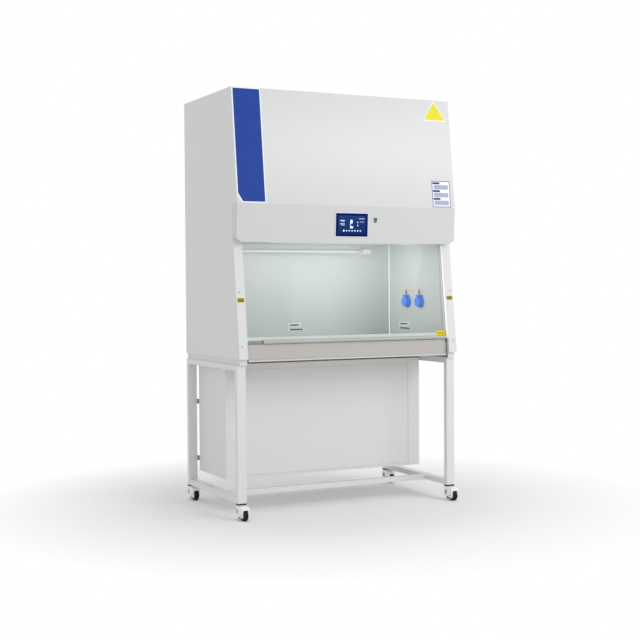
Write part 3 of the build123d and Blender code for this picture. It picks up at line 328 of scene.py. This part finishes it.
# softened folds on the sheet-metal nodes, in millimetres
foldSettings = {"weld": 0.01 * mm, "segments": 2, "sharperThan": math.radians(38)}
foldWidths = {
    "upper_front_cover": 0.9,
    "side_panel_left": 0.9,
    "side_panel_right": 0.9,
    "column_left": 0.8,
    "column_right": 0.8,
    "plinth_rails": 0.8,
    "stand_frame_left": 0.9,
    "stand_frame_right": 0.9,
    "stand_cross_rails": 0.9,
    "storage_box": 0.6,
    "box_cover": 0.6,
    "fascia": 0.5,
    "box_brackets": 0.4,
    "sash_edge_rail": 0.4,
    "power_button": 0.6,
    "touchscreen": 0.5,
    "socket_front": 0.8,
    "socket_rear": 0.8,
    "socket_lid_front": 0.8,
    "socket_lid_rear": 0.8,
}


def soften(node, width):
    weld = node.modifiers.new("weld", "WELD")
    weld.merge_threshold = foldSettings["weld"]
    fold = node.modifiers.new("fold", "BEVEL")
    fold.width = width
    fold.segments = foldSettings["segments"]
    fold.limit_method = "ANGLE"
    fold.angle_limit = foldSettings["sharperThan"]
    fold.use_clamp_overlap = True


for name, width in foldWidths.items():
    soften(nodes[name], width * mm)
print("folds softened")


# modelling helpers
def deselect():
    bpy.ops.object.select_all(action="DESELECT")


class Surface:  # a flat place: its middle, the ways along and up it, and outward
    def __init__(self, middle, along, up):
        self.middle = Vector(middle)
        self.along = Vector(along).normalized()
        self.up = Vector(up).normalized()
        self.out = self.along.cross(self.up).normalized()

    def matrix(self, across=0.0, rise=0.0, proud=0.0):
        spot = self.middle + self.along * across + self.up * rise + self.out * proud
        axes = Matrix((self.along, self.up, self.out)).transposed().to_4x4()
        return Matrix.Translation(spot) @ axes


def placed(piece, matrix):
    piece.matrix_world = matrix @ piece.matrix_world
    deselect()
    piece.select_set(True)
    bpy.context.view_layer.objects.active = piece
    bpy.ops.object.transform_apply(location=True, rotation=True, scale=True)
    return piece


def settle(piece, matrix, body, material):
    placed(piece, matrix)
    piece.data.materials.clear()
    piece.data.materials.append(material)
    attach(piece, body)


def newPiece(name):
    piece = bpy.context.active_object
    piece.name = name
    piece.data.name = name
    return piece


def selectVertices(piece, wanted):
    bpy.ops.object.mode_set(mode="OBJECT")
    for vertex in piece.data.vertices:
        vertex.select = bool(wanted(vertex.co))
    for edge in piece.data.edges:
        edge.select = all(piece.data.vertices[v].select for v in edge.vertices)
    for face in piece.data.polygons:
        face.select = all(piece.data.vertices[v].select for v in face.vertices)
    bpy.ops.object.mode_set(mode="EDIT")


skin = 0.02 * mm  # how far a plate's back stands off what it lies on
plateSettings = {"cornerSteps": 5, "easedShare": 0.4, "easedMost": 0.4 * mm}


def flatPlate(name, width, height, radius=0.0):
    deselect()
    bpy.ops.mesh.primitive_plane_add(size=1)
    piece = newPiece(name)
    bpy.ops.object.mode_set(mode="EDIT")
    bpy.ops.mesh.select_all(action="SELECT")
    bpy.ops.transform.resize(value=(width, height, 1))
    if radius:
        steps = plateSettings["cornerSteps"]
        bpy.ops.mesh.bevel(affect="VERTICES", offset=radius, segments=steps)
    bpy.ops.object.mode_set(mode="OBJECT")
    return piece


def thicken(piece, thickness):  # from a flat outline to a slab whose upper edge is eased
    edge = min(thickness * plateSettings["easedShare"], plateSettings["easedMost"])
    bpy.ops.object.mode_set(mode="EDIT")
    bpy.ops.mesh.select_all(action="SELECT")
    bpy.ops.mesh.extrude_region_move(TRANSFORM_OT_translate={"value": (0, 0, thickness - edge)})
    bpy.ops.mesh.inset(thickness=edge, depth=edge)
    bpy.ops.mesh.select_all(action="SELECT")
    bpy.ops.mesh.normals_make_consistent(inside=False)
    bpy.ops.object.mode_set(mode="OBJECT")
    return piece


def sheetPlate(name, width, height, thickness, radius=0.0):
    return thicken(flatPlate(name, width, height, radius), thickness)


def sizesOf(plate):
    return plate["width"], plate["tall"], plate["thickness"], plate["round"]


def trianglePlate(name, width, height, thickness, tip):  # tip: the top side's share of the width
    piece = flatPlate(name, width, height)
    selectVertices(piece, lambda co: co.y > 0)
    bpy.ops.transform.resize(value=(tip, 1, 1))
    bpy.ops.object.mode_set(mode="OBJECT")
    return thicken(piece, thickness)


def settleTogether(name, pieces, material):
    deselect()
    for piece in pieces:
        piece.select_set(True)
    bpy.context.view_layer.objects.active = pieces[0]
    bpy.ops.object.join()
    settle(newPiece(name), Matrix(), "cabinet", material)


# the flat places that plates and marks lie on
def frontAt(name, height, reach=1.5 * mm):  # the foremost point of a node near a height
    return min(v.co.y for v in nodes[name].data.vertices if abs(v.co.z - height) < reach)


hoodLow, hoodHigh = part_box("upper_front_cover")
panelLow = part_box("control_panel")[0]
columnLow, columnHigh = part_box("column_right")
roofFront = Vector((0, frontAt("upper_front_cover", hoodHigh.z), hoodHigh.z))
crease = Vector((0, hoodLow.y, hoodLow.z))
panelFoot = Vector((0, frontAt("control_panel", panelLow.z), panelLow.z))
columnFoot = Vector((0, columnLow.y, columnLow.z))
columnHead = Vector((0, frontAt("column_right", columnHigh.z), columnHigh.z))
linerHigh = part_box("chamber_liner")[1]
linerSheet = 1.5 * mm

alongX = (1, 0, 0)
cover = Surface((roofFront + crease) / 2, alongX, roofFront - crease)
controls = Surface((crease + panelFoot) / 2, alongX, crease - panelFoot)
post = Surface((columnFoot + columnHead) / 2, alongX, columnHead - columnFoot)
backWall = Surface((0, linerHigh.y - linerSheet, 0), alongX, (0, 0, 1))
rightWall = Surface((linerHigh.x - linerSheet, 0, 0), (0, -1, 0), (0, 0, 1))


def riseTo(surface, height):  # how far up a surface a height is from its middle
    return (height - surface.middle.z) / surface.up.z


# blue side band, without lettering, with its lower outer corner cut off
band = {
    "left": -668 * mm, "right": -503 * mm, "low": 1668 * mm, "high": 2279 * mm,
    "cutAcross": 26 * mm, "cutUp": 44 * mm,
    "border": 6 * mm, "borderThick": 0.5 * mm, "blueThick": 0.9 * mm,
}


def bandSheet(name, margin, thickness):
    width = band["right"] - band["left"] - 2 * margin
    low, high = riseTo(cover, band["low"]) + margin, riseTo(cover, band["high"]) - margin
    piece = flatPlate(name, width, high - low)
    selectVertices(piece, lambda co: co.x < 0 and co.y < 0)
    bpy.ops.mesh.bevel(affect="VERTICES", offset=band["cutAcross"], segments=1)
    edge, foot = -width / 2, (low - high) / 2
    hair = skin / 20
    selectVertices(piece, lambda co: co.x < edge + hair and foot + hair < co.y < 0)
    bpy.ops.transform.translate(value=(0, band["cutUp"] - band["cutAcross"], 0))
    bpy.ops.object.mode_set(mode="OBJECT")
    thicken(piece, thickness)
    return piece, cover.matrix((band["left"] + band["right"]) / 2, (low + high) / 2, skin)


whiteVinyl = vinyl("whiteVinyl", srgb(253, 254, 255))
blueVinyl = vinyl("blueVinyl", srgb(40, 72, 160), 0.4, 0.08)
border, spot = bandSheet("bandBorder", 0, band["borderThick"])
settle(border, spot, "cabinet", whiteVinyl)
blue, spot = bandSheet("sideBand", band["border"], band["blueThick"])
settle(blue, spot, "cabinet", blueVinyl)
print("side band placed")

# plain yellow sheet with a white edge
triangle = {"middle": 572.5 * mm, "width": 135 * mm, "foot": 2168 * mm, "apex": 2263 * mm, "tip": 0.06}
triangleLayers = {
    "triangleEdge": {"wider": 17 * mm, "taller": 15 * mm, "drop": 0, "thickness": 0.5 * mm},
    "triangleSheet": {"wider": 1.7 * mm, "taller": 1.5 * mm, "drop": 0.5 * mm, "thickness": 1 * mm},
}
yellowVinyl = vinyl("yellowVinyl", srgb(238, 226, 46), 0.3)
triangleFilms = {"triangleEdge": whiteVinyl, "triangleSheet": yellowVinyl}
low, high = riseTo(cover, triangle["foot"]), riseTo(cover, triangle["apex"])
for name, layer in triangleLayers.items():
    width, height = triangle["width"] + layer["wider"], high - low + layer["taller"]
    piece = trianglePlate(name, width, height, layer["thickness"], triangle["tip"])
    spot = cover.matrix(triangle["middle"], (low + high) / 2 - layer["drop"], skin)
    settle(piece, spot, "cabinet", triangleFilms[name])

# information sheet: a framed sheet with bare tabs and blocks
info = {
    "left": 525 * mm, "right": 644 * mm, "low": 1668 * mm, "high": 1819 * mm, "footGap": 2 * mm,
    "border": 4 * mm, "frameThick": 0.4 * mm, "frameRound": 2 * mm,
    "sheetThick": 0.7 * mm, "sheetRound": 1 * mm, "rows": 3,
    "tabWidth": 46 * mm, "tabHeight": 11 * mm, "tabThick": 0.3 * mm, "tabInset": 6 * mm,
    "blockInset": 12 * mm, "blockGap": 8 * mm, "blockThick": 0.2 * mm, "blockRound": 2 * mm,
}
paleBlue = vinyl("paleBlueInk", srgb(70, 112, 168))
darkBlue = vinyl("darkBlueInk", srgb(26, 60, 130))
lilac = vinyl("lilacInk", srgb(176, 184, 206))


def infoSheet():
    width = info["right"] - info["left"]
    low, high = riseTo(cover, info["low"]) + info["footGap"], riseTo(cover, info["high"])
    height, rim = high - low, info["border"]
    middle = (info["left"] + info["right"]) / 2
    spot = cover.matrix(middle, (low + high) / 2, skin)
    surround = sheetPlate("infoFrame", width, height, info["frameThick"], info["frameRound"])
    settle(surround, spot, "cabinet", paleBlue)
    sizes = (width - 2 * rim, height - 2 * rim, info["sheetThick"], info["sheetRound"])
    settle(sheetPlate("infoSheet", *sizes), spot, "cabinet", whiteVinyl)
    tabs, blocks = [], []
    step = (height - 4 * rim) / info["rows"]
    across = info["left"] + info["tabInset"] + info["tabWidth"] / 2
    blockWidth, blockHeight = width - 2 * info["blockInset"], step - info["tabHeight"] - info["blockGap"]
    for row in range(info["rows"]):
        rise = high - 2 * rim - info["tabHeight"] / 2 - row * step
        tab = sheetPlate("tab", info["tabWidth"], info["tabHeight"], info["tabThick"])
        tabs.append(placed(tab, cover.matrix(across, rise, info["sheetThick"])))
        block = sheetPlate("block", blockWidth, blockHeight, info["blockThick"], info["blockRound"])
        blocks.append(placed(block, cover.matrix(middle, rise - step / 2, info["sheetThick"])))
    settleTogether("infoTabs", tabs, darkBlue)
    settleTogether("infoBlocks", blocks, lilac)


infoSheet()
print("cover sheets placed")

# touchscreen: dark surround, lit field and its marks
screenLow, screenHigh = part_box("touchscreen")
screen = {
    "middle": (screenLow.x + screenHigh.x) / 2,
    "width": screenHigh.x - screenLow.x,
    "height": (screenHigh.z - screenLow.z) / controls.up.z,
    "rise": riseTo(controls, (screenLow.z + screenHigh.z) / 2) - 0.1 * mm,
    "proud": 4 * mm, "rim": 4 * mm, "glassThick": 0.6 * mm, "glassRound": 3 * mm,
    "fieldSide": 17.6 * mm, "fieldEnd": 16.5 * mm, "fieldThick": 0.25 * mm, "fieldRound": 1 * mm,
}
markSettings = {"spread": 1.18, "proud": 0.85 * mm, "thickness": 0.25 * mm, "roundest": 0.3}
navyGlass = vinyl("navyGlass", srgb(6, 8, 92), 0.2, 0.1)
fieldGlass = litScreen("fieldGlass", screenLow.z, screenHigh.z)
paleInk = Shader("screenInk")
inkGrain = paleInk.noise(500, 2)
paleInk.set(Base_Color=paleInk.mix(inkGrain, srgb(214, 232, 246), srgb(246, 250, 252)))
paleInk.set(Roughness=inkGrain * 0.2 + 0.2).glow(srgb(220, 236, 248), 0.3)


def screenSpot(across, rise, proud):
    return controls.matrix(screen["middle"] + across, screen["rise"] + rise, screen["proud"] + proud)


def screenMark(width, height, across, rise, radius=0.8):  # in millimetres
    spread = markSettings["spread"] * mm
    rounded = min(radius * mm, height * mm * markSettings["roundest"])
    piece = sheetPlate("mark", width * spread, height * spread, markSettings["thickness"], rounded)
    return placed(piece, screenSpot(across * spread, rise * spread, markSettings["proud"]))


def touchscreenFace():
    width, height = screen["width"] - 2 * screen["rim"], screen["height"] - 2 * screen["rim"]
    glass = sheetPlate("screenGlass", width, height, screen["glassThick"], screen["glassRound"])
    settle(glass, screenSpot(0, 0, skin), "cabinet", navyGlass)
    width, height = screen["width"] - 2 * screen["fieldSide"], screen["height"] - 2 * screen["fieldEnd"]
    field = sheetPlate("screenField", width, height, screen["fieldThick"], screen["fieldRound"])
    settle(field, screenSpot(0, 0, screen["glassThick"]), "cabinet", fieldGlass)
    marks = []
    for row in range(2):  # two readings and a tick beside each
        marks.append(screenMark(24, 3, -50, 20 - row * 16))
        marks.append(screenMark(17, 1.6, -47, 14 - row * 16))
        marks.append(screenMark(5, 5, 30, 12 - row * 14))
    marks.append(screenMark(28, 2, 51, 29))
    marks.append(screenMark(22, 1.4, 52, 14))
    marks.append(screenMark(12, 17, -3, 15, 4))  # head, back and foot of a small cabinet
    marks.append(screenMark(3, 18, -8, 1))
    marks.append(screenMark(15, 10, -2, -11, 2))
    for step in range(7):  # row of keys
        size = 6 if step else 8
        marks.append(screenMark(size, size, -42 + step * 14.5, -27, size * markSettings["roundest"]))
    settleTogether("screenMarks", marks, paleInk.material)


touchscreenFace()

# mark under the button
underButton = {"width": 17 * mm, "tall": 7 * mm, "thickness": 0.4 * mm, "round": 1.5 * mm, "drop": 4 * mm}
buttonLow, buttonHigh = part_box("power_button")
piece = sheetPlate("buttonMark", *sizesOf(underButton))
rise = riseTo(controls, buttonLow.z) - underButton["drop"]
spot = controls.matrix((buttonLow.x + buttonHigh.x) / 2, rise, skin)
settle(piece, spot, "cabinet", vinyl("darkInk", srgb(38, 42, 46), 0.4))
print("controls dressed")

# plates on the columns
plates = {
    "height": 1157 * mm, "width": 37 * mm, "tall": 21 * mm, "thickness": 0.6 * mm, "round": 1.5 * mm,
    "edge": 2.5 * mm, "edgeThick": 0.3 * mm, "edgeRound": 2 * mm,
}
brass = vinyl("ochrePlate", srgb(146, 122, 16), 0.35)
paleEdge = vinyl("palePlate", srgb(240, 232, 178), 0.35)
columnMiddle = (columnLow.x + columnHigh.x) / 2
for side, word in ((-1, "Left"), (1, "Right")):
    spot = post.matrix(side * columnMiddle, riseTo(post, plates["height"]), skin)
    width, height = plates["width"] + 2 * plates["edge"], plates["tall"] + 2 * plates["edge"]
    base = sheetPlate("plateEdge" + word, width, height, plates["edgeThick"], plates["edgeRound"])
    settle(base, spot, "cabinet", paleEdge)
    plate = sheetPlate("plate" + word, *sizesOf(plates))
    settle(plate, spot, "cabinet", brass)


# strips along the columns' slope, one on each side
def postStrips(name, strip, reach, material):
    low, high = riseTo(post, strip["low"]), riseTo(post, strip["high"])
    middle = post.middle + post.up * (low + high) / 2 - post.out * strip["setback"]
    pieces = []
    for side in (-1, 1):
        wall = Surface((side * reach, middle.y, middle.z), post.out * side, post.up)
        plate = sheetPlate("strip", strip["width"], high - low, strip["thickness"])
        pieces.append(placed(plate, wall.matrix()))
    settleTogether(name, pieces, material)


# white edge trim on the columns' inner returns, glowing as a painted highlight along their edges
trim = {"setback": 11 * mm, "width": 18 * mm, "low": 930 * mm, "high": 1458 * mm, "thickness": 1 * mm}
# painted highlight: the trim white glows though it is no lamp
trimHighlightWhite = moulded("trimHighlightWhite", srgb(252, 253, 252), 0.3, (1, 1, 1), 0.3)
postStrips("columnTrimHighlight", trim, columnLow.x - skin, trimHighlightWhite)

# screws on the columns and on the back panel
screwSteel = brushed("screwSteel", srgb(150, 152, 154), (40, 40, 40), 0.35, 0.8)
smoothAngle = math.radians(35)
head = {"corners": 20, "crown": 0.72, "rim": 0.3, "rise": 0.12, "bore": 0.12, "drop": 0.45}


def panScrew(radius, height):  # a domed head with a recess, standing on Z = 0
    deselect()
    bpy.ops.mesh.primitive_cylinder_add(vertices=head["corners"], radius=radius, depth=height)
    piece = placed(newPiece("screw"), Matrix.Translation((0, 0, height / 2)))
    selectVertices(piece, lambda co: co.z > height / 2)
    bpy.ops.transform.resize(value=(head["crown"], head["crown"], 1))
    bpy.ops.mesh.inset(thickness=radius * head["rim"], depth=height * head["rise"])
    bpy.ops.mesh.inset(thickness=radius * head["bore"], depth=-height * head["drop"])
    bpy.ops.object.mode_set(mode="OBJECT")
    bpy.ops.object.shade_smooth_by_angle(angle=smoothAngle)
    return piece


def screwSet(name, spots, radius, height):
    screws = [placed(panScrew(radius, height), spot) for spot in spots]
    settleTogether(name, screws, screwSteel)


columnScrews = {"heights": (914 * mm, 1199 * mm), "radius": 4.5 * mm, "height": 2 * mm, "inset": 18 * mm}
spots = []
for side in (-1, 1):
    across = side * (columnHigh.x - columnScrews["inset"])
    for height in columnScrews["heights"]:
        spots.append(post.matrix(across, riseTo(post, height)))
screwSet("columnScrews", spots, columnScrews["radius"], columnScrews["height"])
print("columns dressed")

backLow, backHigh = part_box("back_panel")
rear = Surface((0, backHigh.y, 0), (-1, 0, 0), (0, 0, 1))
backScrews = {"radius": 4 * mm, "height": 1.8 * mm, "edge": 14 * mm, "columns": 4, "rows": 5}
across = backHigh.x - backScrews["edge"]
low, high = backLow.z + backScrews["edge"], backHigh.z - backScrews["edge"]
spots = []
for step in range(backScrews["columns"]):
    share = step / (backScrews["columns"] - 1)
    spots += [rear.matrix(across * (2 * share - 1), height) for height in (low, high)]
for step in range(1, backScrews["rows"]):
    share = step / backScrews["rows"]
    spots += [rear.matrix(side * across, low + (high - low) * share) for side in (-1, 1)]
screwSet("backScrews", spots, backScrews["radius"], backScrews["height"])

# small marks above the sockets
socketMarks = {"size": 30 * mm, "tip": 0.1, "thickness": 0.4 * mm, "back": 20 * mm, "above": 20 * mm}
socketPlates = {
    "width": 56 * mm, "tall": 24 * mm, "thickness": 0.4 * mm, "round": 1.5 * mm,
    "ahead": 28 * mm, "above": 22 * mm,
}
orangeInk = vinyl("orangeInk", srgb(146, 92, 54), 0.4)
palePink = vinyl("palePink", srgb(226, 206, 196), 0.35)
for word in ("front", "rear"):
    low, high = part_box("socket_" + word)
    middle = -(low.y + high.y) / 2
    size = socketMarks["size"]
    mark = trianglePlate("socketMark_" + word, size, size, socketMarks["thickness"], socketMarks["tip"])
    spot = rightWall.matrix(middle - socketMarks["back"], high.z + socketMarks["above"], skin)
    settle(mark, spot, "cabinet", orangeInk)
    plate = sheetPlate("socketPlate_" + word, *sizesOf(socketPlates))
    spot = rightWall.matrix(middle + socketPlates["ahead"], high.z + socketPlates["above"], skin)
    settle(plate, spot, "cabinet", palePink)

# bare notices on the back and right walls: an upper sheet and a lower one, with a bar each
paleFilm = vinyl("paleFilm", srgb(232, 239, 236), 0.35)
deepInk = vinyl("deepInk", srgb(14, 16, 18), 0.4)
wallPlates = {
    "Back": {"wall": backWall, "across": -30 * mm, "width": 84 * mm, "upperBar": 56 * mm},
    "Right": {"wall": rightWall, "across": -122 * mm, "width": 120 * mm, "upperBar": 84 * mm},
}
notice = {
    "height": 998 * mm, "upperTall": 26 * mm, "lowerTall": 12 * mm, "drop": 26 * mm,
    "sheetThick": 0.4 * mm, "sheetRound": 2 * mm,
    "barTall": 8 * mm, "barThick": 0.3 * mm, "barRound": 1 * mm,
}
for word, plate in wallPlates.items():
    sheets, bars = [], []
    upper = (0, notice["upperTall"], plate["upperBar"])
    lower = (notice["drop"], notice["lowerTall"], plate["width"])
    for drop, tall, length in (upper, lower):
        across, height = plate["across"] + drop / 2, notice["height"] - drop
        width = plate["width"] + drop
        sheet = sheetPlate("sheet", width, tall, notice["sheetThick"], notice["sheetRound"])
        sheets.append(placed(sheet, plate["wall"].matrix(across, height, skin)))
        bar = sheetPlate("bar", length, notice["barTall"], notice["barThick"], notice["barRound"])
        bars.append(placed(bar, plate["wall"].matrix(across, height, skin + notice["sheetThick"])))
    settleTogether("wallPlate" + word, sheets, paleFilm)
    settleTogether("wallMarks" + word, bars, deepInk)

# painted shade: a dark sheet behind the capture slots of both side walls, so that the slots read as shaded
# openings
slotShadeSheet = {
    "setback": 57 * mm, "width": 20 * mm, "low": 950 * mm, "high": 1250 * mm,
    "thickness": 0.8 * mm, "gap": 1.2 * mm,
}
slotShadeBlack = moulded("slotShadeBlack", srgb(44, 50, 48), 0.7)
postStrips("slotShadeStrips", slotShadeSheet, linerHigh.x + slotShadeSheet["gap"], slotShadeBlack)

# sealing strips across the chamber's rounded rear corners, white and glowing as a painted highlight along
# each corner
seal = {
    "round": 8 * mm, "width": 4 * mm, "thickness": 1 * mm,
    "low": 925 * mm, "high": 1474 * mm, "sunk": 1.2 * mm,
}
reach = linerHigh - Vector((1, 1, 0)) * (linerSheet + seal["round"] / 2)
seals = []
for side in (-1, 1):
    middle = (side * reach.x, reach.y, (seal["low"] + seal["high"]) / 2)
    corner = Surface(middle, (1, -side, 0), (0, 0, 1))
    strip = sheetPlate("strip", seal["width"], seal["high"] - seal["low"], seal["thickness"])
    seals.append(placed(strip, corner.matrix(proud=-seal["sunk"])))
settleTogether("cornerSealHighlights", seals, trimHighlightWhite)
print("chamber dressed")

# sticker low on the sash glass: an edge sheet and a darker field
sticker = {
    "width": 64 * mm, "tall": 28 * mm, "thickness": 0.4 * mm, "round": 9 * mm,
    "right": 618 * mm, "height": 958 * mm, "proud": 1.55 * mm,
    "margin": 8 * mm, "fieldThick": 0.6 * mm, "fieldRound": 4 * mm,
}
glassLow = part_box("sash_glass")[0]
glassFront = Surface((0, glassLow.y, glassLow.z), alongX, post.up)
middle, rise = sticker["right"] - sticker["width"] / 2, riseTo(glassFront, sticker["height"])
spot = glassFront.matrix(middle, rise, sticker["proud"])
tagEdge = sheetPlate("sashSticker", *sizesOf(sticker))
settle(tagEdge, spot, "sash", vinyl("tagYellow", srgb(236, 214, 40), 0.35))
width, height = (sticker[key] - 2 * sticker["margin"] for key in ("width", "tall"))
tagField = sheetPlate("stickerField", width, height, sticker["fieldThick"], sticker["fieldRound"])
settle(tagField, spot, "sash", vinyl("tagOchre", srgb(204, 184, 16), 0.35))

# hub caps on both faces of each caster wheel: a raised rim round a dished middle
hubPlastic = moulded("hubPlastic", srgb(206, 208, 210), 0.35)
hub = {
    "from": 12.75 * mm, "depth": 0.8 * mm, "share": 0.3, "corners": 40,
    "rimShare": 0.12, "rimRise": 0.2 * mm, "dishShare": 0.35, "dishDrop": 0.3 * mm,
}


def hubCap(name, corner, side):
    low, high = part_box("caster_wheel_" + corner)
    middle = (low + high) / 2
    radius = (high.z - low.z) * hub["share"]
    deselect()
    bpy.ops.mesh.primitive_cylinder_add(vertices=hub["corners"], radius=radius, depth=hub["depth"])
    piece = newPiece(name)
    selectVertices(piece, lambda co: co.z > 0)
    bpy.ops.mesh.inset(thickness=radius * hub["rimShare"], depth=hub["rimRise"])
    bpy.ops.mesh.inset(thickness=radius * hub["dishShare"], depth=-hub["dishDrop"])
    bpy.ops.object.mode_set(mode="OBJECT")
    bpy.ops.object.shade_smooth_by_angle(angle=smoothAngle)
    face = Surface((middle.x + side * hub["from"], middle.y, middle.z), (0, side, 0), (0, 0, 1))
    settle(piece, face.matrix(), "wheel_" + corner, hubPlastic)


for corner in ("front_left", "front_right", "rear_left", "rear_right"):
    for side, word in ((-1, "outer"), (1, "inner")):
        hubCap(f"hubCap_{corner}_{word}", corner, side)
print("pieces placed")

# floor and white room
floorSettings = {"size": 40, "tone": 0.96, "mottle": 0.01, "fadeFrom": 0.9, "fadeTo": 2.0}
roomStrength = 0.71
plainWhite = (1, 1, 1)


def studioFloor():
    deselect()
    bpy.ops.mesh.primitive_plane_add(size=floorSettings["size"])
    floor = newPiece("floor")
    sheet = Shader("floorSheet")
    sheet.tree.nodes.remove(sheet.surface)
    away = sheet.node("ShaderNodeVectorMath", {"operation": "LENGTH"}, {0: sheet.place}, "Value")
    tone = sheet.noise(3, 3) * floorSettings["mottle"] + floorSettings["tone"]
    matt = sheet.node("ShaderNodeBsdfDiffuse", {}, {"Color": tone})
    glow = sheet.node("ShaderNodeEmission", {}, {"Color": plainWhite, "Strength": 1.0})
    seen = sheet.node("ShaderNodeLightPath", {}, {}, "Is Camera Ray")
    fade = away.ramp(floorSettings["fadeFrom"], floorSettings["fadeTo"]) * seen
    sheet.showOn("Material Output", sheet.node("ShaderNodeMixShader", {}, {0: fade, 1: matt, 2: glow}))
    floor.data.materials.append(sheet.material)


studioFloor()


def whiteRoom(strength):  # plain white where it is seen, dimmer as a light
    room = Shader("whiteRoom", bpy.data.worlds, "Background")
    room.set(Color=plainWhite, Strength=strength)
    dim = Wire(room, room.surface.outputs[0])
    bright = room.node("ShaderNodeBackground", {}, {"Color": plainWhite, "Strength": 1.0})
    rays = ("Is Camera Ray", "Is Glossy Ray", "Is Transmission Ray")
    first, glossy, through = (room.node("ShaderNodeLightPath", {}, {}, ray) for ray in rays)
    seen = first.larger(glossy).larger(through)
    room.showOn("World Output", room.node("ShaderNodeMixShader", {}, {0: seen, 1: dim, 2: bright}))
    bpy.context.scene.world = room.material


whiteRoom(roomStrength)
print("floor and room ready")

# lamps: a key lamp from the front right and three small ones in the chamber
lamps = {
    "keyLamp": {
        "place": (2.6, -4.6, 3.4), "target": (0.1, -0.2, 1.3), "size": (3.2, 2.6), "power": 86,
    },
    "wallLamp": {
        "place": (-0.2, 0, 1.2), "target": (0.62, 0, 1.17), "size": (0.4, 0.35), "power": 0.55, "spread": 95,
    },
    "ceilingFill": {
        "place": (0, -0.1, 1.36), "target": (0, 0.3, 1.47), "size": (1.1, 0.1), "power": 0.45,
    },
    "chamberLamp": {
        "place": (0, 0, 1.468), "target": (0, 0.03, 0.9), "size": (0.9, 0.5), "power": 1.25,
    },
}


def softLamp(name, place, target, size, power, spread=180):
    bpy.ops.object.light_add(type="AREA", location=place)
    lamp = bpy.context.active_object
    lamp.name = name
    lamp.data.shape = "RECTANGLE"
    lamp.data.size, lamp.data.size_y = size
    lamp.data.energy = power
    lamp.data.spread = math.radians(spread)
    lamp.rotation_euler = (Vector(target) - Vector(place)).to_track_quat("-Z", "Y").to_euler()


for name, lamp in lamps.items():
    softLamp(name, **lamp)

# camera: angles in degrees, lens and sensor in millimetres
camera = {
    "place": (-3.158, -6.297, 1.232), "azimuth": -26.576, "pitch": -1.606, "roll": -0.374,
    "lens": 69.2, "sensor": 36,
}


def addCamera():
    turn, tilt, roll = (math.radians(camera[key]) for key in ("azimuth", "pitch", "roll"))
    ahead = Vector((-math.sin(turn) * math.cos(tilt), math.cos(turn) * math.cos(tilt), math.sin(tilt)))
    right = Vector((math.cos(turn), math.sin(turn), 0))
    above = right.cross(ahead)
    across = right * math.cos(roll) + above * math.sin(roll)
    upward = above * math.cos(roll) - right * math.sin(roll)
    bpy.ops.object.camera_add()
    view = bpy.context.active_object
    view.name = "camera"
    axes = Matrix((across, upward, -ahead)).transposed().to_4x4()
    view.matrix_world = Matrix.Translation(camera["place"]) @ axes
    view.data.sensor_width = camera["sensor"]
    view.data.lens = camera["lens"]
    bpy.context.scene.camera = view


addCamera()
bpy.context.scene.view_settings.view_transform = "Standard"
print("lamps and camera ready")
